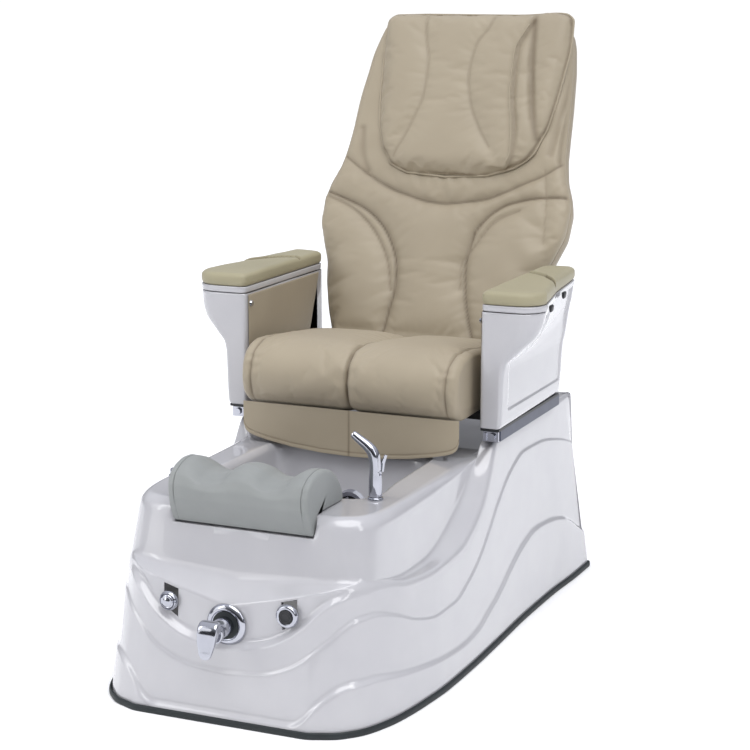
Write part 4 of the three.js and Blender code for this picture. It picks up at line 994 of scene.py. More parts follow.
pleats = 1.1 * near_ends * np.sin(pleat_phase + 1.3 * np.sin(pleat_phase * 0.37))
pleats += 0.9 * np.exp(-(at[:, 0] / 26) ** 2) * np.sin(pleat_phase * 0.8 + 2.0 * np.sign(at[:, 0]))
sag = 1.2 * np.sin(at[:, 0] / 61 + at[:, 1] / 83) * np.sin(at[:, 0] / 97 - at[:, 1] / 47 + 1.1)
mid_cut = 6.0 * np.exp(-(at[:, 0] / 3.0) ** 2)
end_cut = 3.2 * np.exp(-((np.abs(at[:, 0]) - SEAM_X) / 2.4) ** 2)
at = at + out_of * ((puff + pleats + sag - mid_cut - end_cut) * top_front)[:, None]
limit_x = SEAT_HALF + 1.0
at[:, 0] = np.clip(at[:, 0], -limit_x - 1, limit_x + 1)
set_points(cushion, at)
# painted shade along the middle seam and the two end seams, where the cushion dips
set_painted_shade(cushion, np.exp(-(at[:, 0] / 3.2) ** 2) + 0.8 * np.exp(-((np.abs(at[:, 0]) - SEAM_X) / 2.6) ** 2))
print("seat cushion:", len(cushion.data.polygons), "faces")

# %% [markdown]
# Stitches are short lengths of thread that lie along the seams. One routine lays them: it walks along a line
# on the surface, finds where each stitch meets the leather by a ray, and sets a small capsule there. All the
# capsules of a seam form one piece.

# %% Stitches
def tree_of(piece):
    """A search tree of a piece's faces, for finding where a ray meets it."""
    mesh = piece.data
    flat_points = np.empty(len(mesh.vertices) * 3, np.float32)
    mesh.vertices.foreach_get("co", flat_points)
    return BVHTree.FromPolygons(flat_points.reshape(-1, 3).tolist(), [p.vertices[:] for p in mesh.polygons])


def capsules(starts, ends, radius, sides=6):
    """Closed six-sided rods with pointed ends between pairs of points, as points and faces."""
    along = ends - starts
    along = along / np.maximum(np.linalg.norm(along, axis=1, keepdims=True), 1e-9)
    help_axis = np.where(np.abs(along[:, 2:3]) < 0.9, [[0.0, 0.0, 1.0]], [[1.0, 0.0, 0.0]])
    a = np.cross(along, help_axis)
    a /= np.linalg.norm(a, axis=1, keepdims=True)
    b = np.cross(along, a)
    angle = np.arange(sides) * 2 * math.pi / sides
    rim_dir = np.cos(angle)[None, :, None] * a[:, None] + np.sin(angle)[None, :, None] * b[:, None]
    span = (ends - starts)[:, None]
    levels = [(0.0, 0.15), (0.18, 0.9), (0.5, 1.0), (0.82, 0.9), (1.0, 0.15)]
    grid = np.stack([starts[:, None] + span * t + rim_dir * radius * r for t, r in levels], 1)
    one = grid_faces(len(levels), sides)
    cap_a = np.array([[0, 1, 2, 3], [0, 3, 4, 5]])
    cap_b = cap_a[:, ::-1] + sides * (len(levels) - 1)
    one = np.concatenate([one[:, ::-1], cap_a, cap_b])
    count = len(levels) * sides
    faces = (one[None] + (np.arange(len(starts)) * count)[:, None, None]).reshape(-1, 4)
    return grid.reshape(-1, 3), faces


def sew(name, tree, line, direction, body, pitch=6.0, share=0.62, radius=0.55, lift=0.25):
    """Stitches along a line of drawing points, dropped onto the surface along a direction."""
    spots = resample(line, max(4, int(np.linalg.norm(np.diff(line, axis=0), axis=1).sum() / 1.5)), closed=False)
    direction = Vector(direction).normalized()
    hits, outs = [], []
    for spot in to_frame(spots):
        place, normal, _, _ = tree.ray_cast(Vector(spot) - direction * 0.08, direction, 0.16)
        if place is not None:
            hits.append(place)
            outs.append(normal if normal.dot(direction) < 0 else -normal)
    hits = np.array(hits) + np.array(outs) * lift * MM
    along = np.concatenate([[0], np.cumsum(np.linalg.norm(np.diff(hits, axis=0), axis=1))]) / MM
    starts = np.arange(0, along[-1] - pitch, pitch)
    a = np.stack([np.interp(starts, along, hits[:, k]) for k in range(3)], 1)
    b = np.stack([np.interp(starts + pitch * share, along, hits[:, k]) for k in range(3)], 1)
    points, faces = capsules(a, b, radius * MM)
    return add_piece(name, points, faces, thread, body, sharp=180)


cushion_tree = tree_of(cushion)
front_z = np.linspace(556, 660, 20)
top_y = np.linspace(-140, 200, 40)
top_z = np.interp(top_y, [-140, -100, -40, 90, 200], [690, 700, 698, 684, 670])
for number, x in enumerate((-SEAM_X + 5.5, SEAM_X - 5.5, -6.5, 6.5)):
    rise = np.stack([np.full(20, x), np.full(20, -190.0), front_z], 1)
    run = np.stack([np.full(40, x), top_y, top_z], 1)
    sew("seat_stitch_front_%d" % number, cushion_tree, rise, (0, 1, 0), "seat_carriage")
    sew("seat_stitch_top_%d" % number, cushion_tree, run, (0, 0, -1), "seat_carriage")
print("seat stitched")

# %% [markdown]
# Below the cushion hangs an apron: one flat sheet of leather, a little over 2 mm thick, held along its top
# edge. It waves very slightly, its lower hem is rolled, and a seam runs down its middle.

# %% Apron
APRON_HALF, APRON_TOP, APRON_THICK, APRON_Y = 279.0, 539.0, 2.3, -160.7
HEM_X = [0, 75, 150, 215, 250, 264, 272, 276, 279]
HEM_Z = [428.6, 430.4, 437.2, 448, 456, 461.5, 467.5, 474, 486]


def fill_holes(piece):
    """Closes open borders with one face each."""
    shape = bmesh.new()
    shape.from_mesh(piece.data)
    bmesh.ops.holes_fill(shape, edges=[e for e in shape.edges if e.is_boundary], sides=0)
    shape.to_mesh(piece.data)
    shape.free()


x = np.linspace(-1, 1, 151) * APRON_HALF
bottom = np.interp(np.abs(x), HEM_X, HEM_Z)
fall = np.linspace(0, 1, 44)
sheet_z = APRON_TOP + (bottom[None] - APRON_TOP) * fall[:, None]
sheet_x = np.broadcast_to(x, sheet_z.shape)
drop = (APRON_TOP - sheet_z) / 110
wave = drop * (0.55 * np.sin(sheet_x / 43 + 0.6) + 0.4 * np.sin(sheet_x / 71 - sheet_z / 37)) + 0.5 * drop**2
seam_dip = 0.7 * np.exp(-(sheet_x / 2.2) ** 2)
above_hem = sheet_z - bottom[None]
hem = 0.55 * np.exp(-((above_hem - 4.0) / 3.0) ** 2) - 0.6 * np.exp(-((above_hem - 9.5) / 1.3) ** 2)
front_y = APRON_Y - APRON_THICK / 2 - wave - hem + seam_dip
rear_y = APRON_Y + APRON_THICK / 2 - wave
front_face = np.stack([sheet_x, front_y, sheet_z], -1)
rear_face = np.stack([sheet_x, rear_y, sheet_z], -1)
both = np.concatenate([front_face, rear_face[:, ::-1]], 1)
apron = loft_piece("apron", both, hide, "seat_carriage", ["seat_apron"], ends=(False, False), sharp=60)
fill_holes(apron)
apron.data.shade_smooth()
apron.data.set_sharp_from_angle(angle=math.radians(60))
at = points_of(apron)
middle_column = len(x) // 2
low_at = np.interp(np.abs(at[:, 0]), x[middle_column:], bottom[middle_column:])
# painted shade along the middle seam and in the groove above the rolled hem
set_painted_shade(apron, 0.8 * np.exp(-(at[:, 0] / 2.4) ** 2) + 0.8 * np.exp(-((at[:, 2] - low_at - 9.5) / 1.6) ** 2))

# %% [markdown]
# The back pad is two sheets over the leaning outline. Rows follow the outline by length, so they crowd where
# its corners turn. The front sheet carries the lumbar seams: two crescents that sweep in from the shoulders
# of the seat to the middle and out again, and one curve under the pillow. They are listed as distance across
# and distance down from the top of the back.

# %% Back pad
BACK_OUTLINE = [
    (0, 905), (120, 906), (225, 902), (248, 893), (262, 876), (272, 845), (284, 772), (293, 673), (298, 600),
    (303, 527), (314, 469), (331, 425), (341, 382), (338, 312), (316, 250), (298, 205), (289, 147), (266, 67),
    (245, 12), (225, -20), (190, -34), (0, -36)]
PILLOW_OUTLINE = [
    (0, 903), (150, 903), (240, 900), (258, 886), (260, 850), (259, 795), (247, 673), (233, 588), (209, 520),
    (171, 478), (111, 455), (0, 447)]
BACK_SEAMS = {
    "under_pillow": [(-300, 407), (-217, 460), (-123, 504), (-6, 528), (102, 515), (203, 469), (300, 410),
                     (322, 376)],
    "lumbar_left": [(-330, 509), (-275, 528), (-213, 553), (-155, 597), (-117, 650), (-95, 704), (-87, 771),
                    (-92, 831), (-97, 890)],
    "lumbar_left_inner": [(-326, 523), (-257, 550), (-189, 599), (-145, 652), (-117, 705), (-98, 772)],
    "lumbar_right": [(330, 495), (262, 501), (190, 518), (137, 554), (103, 610), (95, 683), (106, 758), (128, 836),
                     (148, 888)],
    "lumbar_right_inner": [(214, 536), (153, 572), (111, 637), (85, 692), (92, 759)],
    "side_right": [(262, 425), (279, 506), (287, 573), (291, 626)],
}


def seam_line(knots, step=4.0):
    """A smooth curve through seam knots, as across and up along the back."""
    p = np.asarray(knots, float) * [1, -1] + [0, BACK_TOP]
    along = np.concatenate([[0.0], np.cumsum(np.linalg.norm(np.diff(p, axis=0), axis=1))])
    return smooth_values(along, p, np.arange(0.0, along[-1] + 0.1, step))


def pillow_shift(z):
    """How far the pillow hangs to the right at a height: 19 mm, fading out at the bottom edge."""
    return 19.0 * smooth_step((z - 450) / 60) - 4.0 * smooth_step((z - 800) / 80)


def rows_of_outline(outline, first_x, last_x, count):
    """Half widths and heights of the rows: the outline from one x at the top to another at the bottom."""
    curve = soften(resample(outline, 1500, closed=False), 8.0, mirror=np.array([-1.0, 1.0]))
    start = np.argmax(curve[:, 0] >= first_x)
    stop = len(curve) - np.argmax(curve[::-1, 0] >= last_x)
    return resample(curve[start:stop], count, closed=False)


def nearest_seam(points, lines):
    """The least distance from each point to any of the lines."""
    return np.minimum.reduce([np.abs(signed_gap(points, line)[0]) for line in lines])


back_lines = {name: seam_line(knots) for name, knots in BACK_SEAMS.items()}
SEAM_STRENGTH = {"under_pillow": 0.8, "lumbar_left": 1.0, "lumbar_left_inner": 0.55, "lumbar_right": 1.0,
                 "lumbar_right_inner": 0.5, "side_right": 0.3}
PAD_FOLDS = [[(296, 120), (290, 210), (278, 300), (268, 385)], [(300, 250), (296, 320), (300, 400)],
             [(-262, 330), (-250, 400), (-225, 450)]]
fold_lines = [seam_line(knots) for knots in PAD_FOLDS]


def clear_of_pillow(points):
    """1 where the pillow does not cover the pad, 0 under it, with a soft border."""
    widths, heights = np.array(PILLOW_OUTLINE[2:], float).T
    cover = np.interp(-points[:, 1], -heights, widths)
    beside = smooth_step((np.abs(points[:, 0] - pillow_shift(points[:, 1])) - cover + 12) / 14)
    return np.maximum(smooth_step((470 - points[:, 1]) / 50), beside)


def seam_marks(points, width):
    """The strongest seam at each point: its strength times exp(-(distance / width)^2)."""
    return np.maximum.reduce([SEAM_STRENGTH[n] * np.exp(-(signed_gap(points, line)[0] / width) ** 2)
                              for n, line in back_lines.items()])


half = rows_of_outline(BACK_OUTLINE, 190, 190, 146)
flat, d, high, low = sewn_grid(half * [-1, 1], half, 78, 146, 26.0, 24.0, 1.0)
low = 12.0 * np.sqrt(1 - (1 - np.clip(d / 9, 0, 1)) ** 2)
sheet = two_sheets(flat, -38 - high, -38 + low)
leaning = np.stack([sheet[..., 0], sheet[..., 2], sheet[..., 1]], -1)
pad = loft_piece("back_cushion", lean(leaning), hide, "backrest", ["back_pad"], ends=(False, False),
                 sharp=180)


def unlean(points):
    """Drawing axes back to back-rest axes."""
    p = np.asarray(points, float) - BACK_PIVOT
    c, s = math.cos(BACK_LEAN), math.sin(BACK_LEAN)
    return np.stack([p[..., 0], p[..., 1] * c - p[..., 2] * s, p[..., 1] * s + p[..., 2] * c], -1)


def edge_gap(points, half):
    """Distance to the closed outline made by the half outline and its mirror image."""
    coarse = half[::4]
    loop = np.concatenate([coarse, coarse[::-1] * [-1, 1], coarse[:1]])
    return np.abs(signed_gap(points, loop)[0])


at = unlean(points_of(pad))
to_seam = nearest_seam(at[:, [0, 2]], back_lines.values())
held = np.maximum.reduce([np.exp(-(to_seam / 6.0) ** 2), (at[:, 1] > -50) * 1.0, smooth_step((at[:, 2] - 430) / 60),
                          smooth_step((40 - at[:, 2]) / 40)])
stuff(pad, held, 3.4, 0.016)
refine(pad)
at = unlean(points_of(pad))
out_of = unlean(normals_of(pad) + BACK_PIVOT)
facing = smooth_step((-40 - at[:, 1]) / 14)
to_seam = nearest_seam(at[:, [0, 2]], back_lines.values())
to_edge = edge_gap(at[:, [0, 2]], half)
open_part = clear_of_pillow(at[:, [0, 2]])
marks, wide_marks = seam_marks(at[:, [0, 2]], 2.6), seam_marks(at[:, [0, 2]], 12.0)
folds = np.maximum.reduce([np.exp(-(signed_gap(at[:, [0, 2]], line)[0] / 9.0) ** 2) for line in fold_lines])
cut = 3.4 * marks + 2.6 * wide_marks + 5.0 * folds
puff = 5.5 * (1 - np.exp(-to_seam / 34)) * (1 - np.exp(-to_edge / 30)) * open_part
gap_under, along_under = signed_gap(at[:, [0, 2]], back_lines["under_pillow"])
phase = along_under * 46
pucker = (1.3 * np.exp(-(gap_under / 17) ** 2) * np.sin(phase + 1.4 * np.sin(phase * 0.31))
          * smooth_step((220 - np.abs(at[:, 0])) / 90))
gather = (2.0 * np.exp(-((at[:, 2] - 436) / 15) ** 2) * np.sin(at[:, 0] / 7.5 + 1.7 * np.sin(at[:, 0] / 19))
          * np.exp(-(at[:, 0] / 120) ** 2))
drag = (1.3 * np.sin((at[:, 0] * 0.55 + at[:, 2] * 0.8) / 17 + 1.2 * np.sin(at[:, 0] / 41))
        * np.exp(-((at[:, 0] - 250) / 60) ** 2))
drag += 1.2 * np.sin((at[:, 0] * 0.5 - at[:, 2]) / 19 + np.sin(at[:, 2] / 53)) * np.exp(-((at[:, 0] + 240) / 70) ** 2)
sag = 1.5 * np.sin(at[:, 0] / 53 + 0.8) * np.sin(at[:, 2] / 71 + at[:, 0] / 130)
move = facing * (puff + (pucker + gather + drag + sag) * (0.35 + 0.65 * open_part) - cut * open_part)
at = at + out_of * move[:, None]
behind_pillow = smooth_step((at[:, 2] - 455) / 30) * (1 - open_part)
at[:, 1] = np.where(behind_pillow > 0, np.maximum(at[:, 1], -62.0 - 14 * (1 - behind_pillow)), at[:, 1])
set_points(pad, lean(at))
# painted shade along the seams and folds of the uncovered front
set_painted_shade(pad, facing * open_part * np.clip(0.85 * marks + 0.2 * wide_marks + 0.35 * folds, 0, 1))
fill_holes(pad)
pad.data.shade_smooth()
print("back pad:", len(pad.data.polygons), "faces, deepest", round(float(-at[:, 1].min()), 1), "mm")

# %% [markdown]
# Behind the pad is a shell, a shallow pan covered in the same leather, with a generous radius to the rear. A
# pan is made like the base: an outer skin and an inner skin joined at the rim.

# %% Back shell
PAN_OUTSIDE = [(-25.2, 3.4), (-24.0, 2.6), (-10, 2.4), (0, 2.6), (6, 3.8), (11, 6.5), (15.5, 11), (19, 17.5),
               (21.6, 25.5), (23.4, 35), (24.4, 46), (25, 62), (25, 110), (25, 170)]
PAN_INSIDE = [(-25.2, 6.6), (-20, 7), (0, 7), (8, 10), (14, 18), (18, 28), (20.6, 44), (21, 62), (21, 110), (21, 170)]
full_half = rows_of_outline(BACK_OUTLINE, 20, 20, 330)
loop = np.concatenate([full_half, full_half[::-1] * [-1, 1]])


def pan_ring(y, distance):
    """The back outline set in by a distance at one depth; deep insets shrink towards the middle line."""
    flat_loop = np.concatenate([loop, np.zeros((len(loop), 1))], 1)
    near = inset(flat_loop, -min(distance, 30.0))[:, :2]
    if distance > 30:
        k = (distance - 30) / 250
        near = near * [1 - k, 1] + (np.array([0.0, 430.0]) - near) * [0, k * 0.55]
    return np.stack([near[:, 0], np.full(len(near), y), near[:, 1]], -1)


if np.abs(pan_ring(0, 20)[:, 0]).max() > np.abs(pan_ring(0, 0)[:, 0]).max():
    loop = loop[::-1]
pan = np.stack([pan_ring(y, k) for y, k in PAN_INSIDE[::-1]] + [pan_ring(y, k) for y, k in PAN_OUTSIDE])
back_pan = loft_piece("back_cover", lean(pan), hide, "backrest", ["back_shell"], sharp=70)
at = unlean(points_of(back_pan))
# painted shade in a line round the cover where the pad meets it
set_painted_shade(back_pan, 0.8 * np.exp(-((at[:, 1] + 8) / 1.8) ** 2))
print("back shell:", len(back_pan.data.polygons), "faces")

# %% [markdown]
# The head pillow hangs over the top edge, a little off centre, as a loose pillow does. It is thin, edged with
# piping, and its right side is a flap that folds in on itself: a ridge where the main panel ends, a valley
# beside it, and looser leather towards the corner, which stands a little proud of the back.

# %% Head pillow
PILLOW_SEAMS = [
    [(-127, 14), (-121, 60), (-99, 145), (-94, 230), (-112, 316), (-150, 415)],
    [(64, 14), (56, 43), (27, 100), (21, 171), (39, 255), (81, 337), (112, 380)],
]
PILLOW_RIDGE = [(172, 22), (158, 52), (137, 112), (143, 224), (165, 334), (172, 400), (150, 446)]
PILLOW_VALLEY = [(178, 34), (184, 120), (196, 200), (212, 280), (234, 350)]


def corner_rise(points):
    """How far the right-hand corner stands up: 12 mm times a bell centred on (215, 885)."""
    return 10.0 * np.exp(-((points[:, 0] - 215) / 55) ** 2 - ((points[:, 1] - 885) / 30) ** 2) * 1.2


pillow_half = rows_of_outline(PILLOW_OUTLINE, 175, 62, 96)
flat, d, high, low = sewn_grid(pillow_half * [-1, 1], pillow_half, 68, 96, 34.0, 25.0, 1.0)
low = 5.5 * np.sqrt(1 - (1 - np.clip(d / 12, 0, 1)) ** 2)
sheet = two_sheets(flat, -69 - high, -69 + low)
leaning = np.stack([sheet[..., 0] + pillow_shift(sheet[..., 1]), sheet[..., 2], sheet[..., 1]], -1)
pillow = loft_piece("pillow_cover", lean(leaning), hide, "pillow", ["head_pillow"],
                    ends=(False, False), sharp=180)
at = unlean(points_of(pillow))
pillow_lines = [seam_line(k) for k in PILLOW_SEAMS + [PILLOW_RIDGE, PILLOW_VALLEY]]
to_seam = nearest_seam(at[:, [0, 2]], pillow_lines)
stuff(pillow, np.maximum(np.exp(-(to_seam / 5.0) ** 2), (at[:, 1] > -71) * 1.0), 2.2, 0.010)
refine(pillow)
at = unlean(points_of(pillow))
out_of = unlean(normals_of(pillow) + BACK_PIVOT)
facing = smooth_step((-69 - at[:, 1]) / 10)
shifted = at[:, [0, 2]] - np.stack([pillow_shift(at[:, 2]), 0 * at[:, 2]], 1)
to_edge = edge_gap(shifted, pillow_half)
to_seam = nearest_seam(at[:, [0, 2]], pillow_lines[:2])
ridge_gap, ridge_along = signed_gap(at[:, [0, 2]], pillow_lines[2])
valley_gap, valley_along = signed_gap(at[:, [0, 2]], pillow_lines[3])
flap = smooth_step(ridge_gap / 30)
cut = 0.9 * np.exp(-(to_seam / 3.0) ** 2) + 1.2 * np.exp(-(to_seam / 14) ** 2)
ridge_share = np.sin(np.clip(ridge_along, 0, 1) * math.pi)
ridge = 4.0 * np.exp(-(ridge_gap / 4.5) ** 2) - 6.5 * np.exp(-((ridge_gap - 10) / 6.0) ** 2) * ridge_share
valley = -9.0 * np.exp(-(valley_gap / 9) ** 2) * np.sin(np.clip(valley_along, 0, 1) * math.pi) ** 0.6
loose = flap * 2.2 * np.sin(at[:, 0] / 11 + at[:, 2] / 60) * smooth_step((730 - at[:, 2]) / 120)
lift = corner_rise(at[:, [0, 2]])
sag = 0.9 * np.sin(at[:, 0] / 47) * np.sin(at[:, 2] / 63 + 1.0)
at = at + out_of * (facing * (ridge + valley + loose + sag - cut))[:, None]
at[:, 2] += lift
at[:, 1] = np.minimum(at[:, 1], -62.8)
set_points(pillow, lean(at))
# painted shade in the seams, beside the ridge, in the valley fold and along the piped edge
seam_shade = 0.34 * np.exp(-(to_seam / 3.4) ** 2) + 0.5 * np.exp(-((ridge_gap - 7) / 5.0) ** 2) * (at[:, 2] > 470)
seam_shade = seam_shade + 0.75 * np.exp(-(valley_gap / 8.0) ** 2) + 0.7 * np.exp(-((to_edge - 1.0) / 3.0) ** 2)
set_painted_shade(pillow, facing * np.clip(seam_shade, 0, 1))
fill_holes(pillow)
pillow.data.shade_smooth()
print("pillow:", len(pillow.data.polygons), "faces")


# %% [markdown]
# Piping is a cord in a sleeve of leather. A tube is carried along a path: at each point two directions across
# the path are found from a fixed helper direction, and a circle is set into them.

# %% Tubes and piping
def tube_grid(path, radii, sides=10, helper=(0.0, 0.0, 1.0), closed=False):
    """Rows of circles across a path; across = path direction x helper."""
    path = np.asarray(path, float)
    along = np.roll(path, -1, 0) - np.roll(path, 1, 0) if closed else np.gradient(path, axis=0)
    along /= np.linalg.norm(along, axis=1, keepdims=True)
    across = np.cross(along, helper)
    across /= np.linalg.norm(across, axis=1, keepdims=True)
    third = np.cross(across, along)
    angle = np.arange(sides) * 2 * math.pi / sides
    circle = np.cos(angle)[None, :, None] * across[:, None] + np.sin(angle)[None, :, None] * third[:, None]
    return path[:, None] + circle * np.broadcast_to(radii, len(path))[:, None, None]


lean_out = lean(np.array([0.0, -1.0, 0.0])) - BACK_PIVOT
half_path = rows_of_outline(PILLOW_OUTLINE, 2, 2, 170)
loop_path = np.concatenate([half_path, half_path[::-1] * [-1, 1]])
loop_path = np.stack([loop_path[:, 0] + pillow_shift(loop_path[:, 1]), np.full(len(loop_path), -69.5),
                      loop_path[:, 1] + corner_rise(loop_path)], 1)
loft_piece("pillow_piping", tube_grid(lean(loop_path), 3.2, 12, lean_out, closed=True), hide, "pillow",
           wrap_rows=True, sharp=180)
ridge_path = seam_line(PILLOW_RIDGE, 3.0)
pillow_tree = tree_of(pillow)


def on_surface(tree, points, direction, rise=0.0):
    """Drawing points dropped onto a piece along a direction; points that miss it are left out."""
    direction = Vector(direction).normalized()
    hits = []
    for spot in to_frame(points):
        place, normal, _, _ = tree.ray_cast(Vector(spot) - direction * 0.1, direction, 0.2)
        if place is not None:
            hits.append(place - direction * rise * MM)
    return np.array(hits) / MM - [0, DATUM_Y, 0]


inward = -lean_out
ridge_spots = lean(np.stack([ridge_path[:, 0], np.full(len(ridge_path), -90.0), ridge_path[:, 1]], 1))
ridge_on = on_surface(pillow_tree, ridge_spots, inward, 0.3)
ridge_on = soften(ridge_on, 2.0, mirror=None)[6:-6] if len(ridge_on) > 40 else ridge_on
loft_piece("pillow_inner_piping", tube_grid(ridge_on, 2.0, 10, lean_out), hide, "pillow", sharp=180)
pad_tree = tree_of(pad)
for name, line in back_lines.items():
    if name == "side_right":
        continue
    for offset in (-5.0, 5.0):
        along_line = np.gradient(line, axis=0)
        along_line /= np.linalg.norm(along_line, axis=1, keepdims=True)
        beside = line + np.stack([-along_line[:, 1], along_line[:, 0]], 1) * offset
        beside = beside[beside[:, 1] < 440]
        if "inner" in name and offset < 0 or len(beside) < 10:
            continue
        spots = lean(np.stack([beside[:, 0], np.full(len(beside), -62.0), beside[:, 1]], 1))
        sew("back_stitch_%s_%d" % (name, offset > 0), pad_tree, spots, inward, "backrest", pitch=6.5)
for number, line in enumerate(pillow_lines[:2]):
    for offset in (-4.5, 4.5):
        spots = lean(np.stack([line[:, 0] + offset, np.full(len(line), -90.0), line[:, 1]], 1))
        sew("pillow_stitch_%d_%d" % (number, offset > 0), pillow_tree, spots, inward, "pillow", pitch=6.0, radius=0.45)
print("piping and stitches laid")

# %% [markdown]
# The taps, buttons and knobs are turned parts: a profile spun round an axis. The profile is a list of radius
# and height; short steps at its corners stand for the polished edges. The lever and the hand spray are bars
# whose section changes along a path.

# %% Turned parts
def turned(name, profile, centre, axis, body, stands_for, material=None, sides=72, sharp=50,
           wrap_rows=False):
    """A profile of (radius, height) spun about the y or z axis through a centre."""
    profile = np.asarray(profile, float)
    angle = np.arange(sides) * 2 * math.pi / sides
    r, h = profile[:, :1], np.broadcast_to(profile[:, 1:], (len(profile), sides))
    if axis == "y":
        grid = np.stack([centre[0] + r * np.cos(angle), h, centre[1] + r * np.sin(angle)], -1)
    else:
        grid = np.stack([centre[0] + r * np.cos(angle), centre[1] + r * np.sin(angle), h], -1)
    return loft_piece(name, grid, material or chrome, body, stands_for, wrap_rows=wrap_rows, sharp=sharp)


MIXER = (0.0, 208.0)
turned("mixer_rosette", [(21.0, -786.5), (46.0, -786.4), (46.3, -787.4), (45.8, -789), (44, -791), (41, -793.2),
                         (37.5, -794.8), (34.5, -795.3), (33.4, -794.8), (32.6, -793), (28, -792.2),
                         (24, -792.2), (21.4, -792.2), (21.0, -791.6)],
       MIXER, "y", "base", ["mixer_escutcheon"], sharp=60)
turned("mixer_shadow_ring", [(21.2, -792.25), (30.2, -792.25), (30.2, -793.0), (28.5, -793.4), (23, -793.4), (21.2, -793.0)],
       MIXER, "y", "base", [], black_rubber)
turned("mixer_barrel", [(20.4, -745), (20.5, -800), (20.5, -829), (19.8, -830), (19.8, -831.4), (20.5, -832.4),
                        (20.5, -837.2), (19.7, -838)],
       MIXER, "y", "base", ["mixer_body"])
turned("mixer_turning_hub", [(20, -838.5), (22.4, -838.6), (23.2, -839.4), (23.8, -843), (23.9, -847),
                             (23.4, -849.4), (22.2, -850.3), (18, -850.4)],
       MIXER, "y", "mixer_turn", ["mixer_hub"])
LEFT_CAP = [(8, -787.5), (15.2, -787.6), (15.7, -790), (15.9, -795), (15, -796.8), (12.6, -798), (11.5, -797.3),
            (9.6, -797.2), (7.5, -799.2), (4, -800.6), (1.2, -800.9)]
RIGHT_CAP = [(8, -787.5), (14.2, -787.6), (14.7, -790), (14.9, -795.4), (14.2, -797), (12.2, -797.9),
             (10.6, -797.2), (9.9, -796.4), (9.2, -797.0), (6, -796.2), (2, -796.0)]
for word, flange, cap, cap_profile, cap_finish, cap_slot in (
        ("left", 22.0, 16.0, LEFT_CAP, chrome, "chrome"),
        ("right", 26.0, 15.0, RIGHT_CAP, black_plastic, "black_plastic")):
    turned("button_ring_" + word,
           [(cap + 0.35, -786.6), (flange, -786.4), (flange + 0.2, -787.6), (flange - 0.8, -790.2),
            (flange - 2.6, -793.4), (flange - 4.2, -795.2), (cap + 1.6, -795.3), (cap + 0.6, -794.2),
            (cap + 0.35, -791)],
           BUTTONS[word], "y", "base", ["button_bezel_" + word], wrap_rows=True)
    turned("push_cap_" + word, cap_profile, BUTTONS[word], "y", "push_button_" + word, ["button_" + word],
           cap_finish)
KNOB, SPRAY = (-264.0, -527.0), (228.0, -525.0)
turned("rim_control", [(6, 421), (6, 440.2), (14.6, 440.4), (15, 441.2), (14.6, 444), (13.4, 445), (11.8, 445.6),
                       (11.2, 447), (11.6, 452), (11, 456), (9.8, 458.6), (7, 459.8), (3, 460.2)],
       KNOB, "z", "drain_knob", ["rim_knob"])
fin = tube_grid(np.array([[KNOB[0], KNOB[1] - 11 + t * 22, 459.0] for t in np.linspace(0, 1, 12)]),
                3.4 * np.sqrt(np.maximum(1 - np.linspace(-1, 1, 12) ** 4, 0.02)), 12)
loft_piece("rim_control_fin", fin, chrome, "drain_knob", sharp=60)
turned("spray_socket", [(10.6, 424), (12.9, 413), (12.9, 440.2), (17.0, 440.4), (17.5, 441.2), (17.0, 444.4),
                        (15.8, 446), (13.5, 446.6), (10.7, 446.2)], SPRAY, "z", "base", ["spray_holder"])

# %% [markdown]
# The hand spray stands in its socket: a waisted barrel that bends over into a narrow nose. The lever of the
# mixer is a block at the hub that thins into a drooping tongue; its section is a superellipse, |x/a|^5.6 +
# |y/b|^5.6 = 1, which gives flat faces with soft corners.

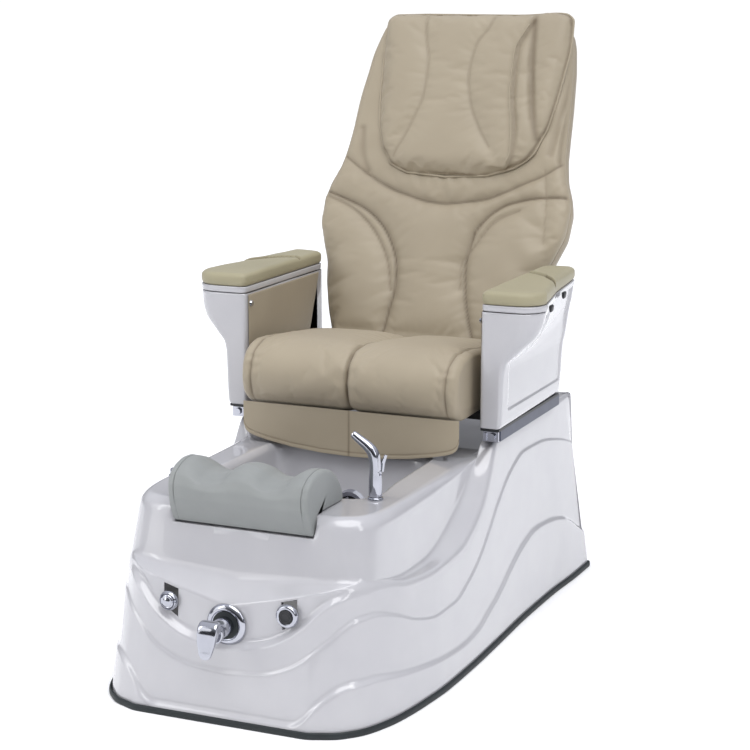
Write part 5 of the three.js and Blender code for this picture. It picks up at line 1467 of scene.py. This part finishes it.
# %% Hand spray and lever
SPRAY_PATH = np.array([
    (0, 0, 425, 9.6), (0, 0, 444, 9.8), (0, 0, 446.9, 10), (0, 0, 447.4, 14.2), (0, 0, 450, 14.8), (0, 0, 456, 15.0),
    (0, 0, 466, 15.0), (0, 0, 482, 14.6), (0, 0, 500, 13.2), (-0.5, 0, 518, 12.4), (-2.5, 0, 534, 12.8),
    (-8, 0, 547, 12.6), (-18, 0, 557, 11.6), (-30, 0, 565.5, 10.6), (-42, 0, 573.5, 9.4), (-50, 0, 579, 8.6),
    (-53, 0, 581, 7.4)])
walk = np.concatenate([[0.0], np.cumsum(np.linalg.norm(np.diff(SPRAY_PATH[:, :3], axis=0), axis=1))])
bar = smooth_values(walk, SPRAY_PATH, np.linspace(0, walk[-1], 150))
path = bar[:, :3] + [SPRAY[0], SPRAY[1], 0]
barrel = tube_grid(path, bar[:, 3], 48, (0.0, 1.0, 0.0))
in_slot = (np.abs(barrel[..., 1] - SPRAY[1]) < 6.5) & (barrel[..., 2] > 496) & (barrel[..., 2] < 562)
barrel[..., 0] = np.where(in_slot, np.minimum(barrel[..., 0], SPRAY[0] + 9.0), barrel[..., 0])
loft_piece("hand_spray", barrel, chrome, "handset", ["spray_handset"], sharp=60)
LEVER_PATH = np.array([
    (-851.0, 223.5, 20.5, 12.0), (-852.5, 224, 22.4, 13.4), (-859, 224.5, 23, 13.6), (-865, 221.5, 23, 12.2),
    (-870, 214, 22.8, 9.6), (-874, 204, 21.8, 7.0), (-877.5, 192, 19.6, 5.2), (-880.5, 180, 16.6, 4.2),
    (-883, 170, 13.4, 3.4), (-884.2, 164.5, 9.6, 2.6), (-884.8, 161.8, 4.0, 1.4)])
walk = np.concatenate([[0.0], np.cumsum(np.linalg.norm(np.diff(LEVER_PATH[:, :2], axis=0), axis=1))])
bar = smooth_values(walk, LEVER_PATH, np.linspace(0, walk[-1], 90))
ahead_of = np.gradient(bar[:, :2], axis=0)
ahead_of[:12] = [-1.0, 0.0]
ahead_of /= np.linalg.norm(ahead_of, axis=1, keepdims=True)
ahead_of = soften(ahead_of, 3.0, mirror=np.array([1.0, 1.0]))
ahead_of /= np.linalg.norm(ahead_of, axis=1, keepdims=True)
angle = np.arange(64) * 2 * math.pi / 64
wide = np.sign(np.cos(angle)) * np.abs(np.cos(angle)) ** 0.36
deep = np.sign(np.sin(angle)) * np.abs(np.sin(angle)) ** 0.36
grid = np.stack([bar[:, 2:3] * wide, bar[:, :1] - ahead_of[:, 1:2] * bar[:, 3:4] * deep,
                 bar[:, 1:2] + ahead_of[:, :1] * bar[:, 3:4] * deep], -1)
loft_piece("mixer_handle", grid, chrome, "mixer_lift", ["mixer_lever"], sharp=70)
print("fittings turned")
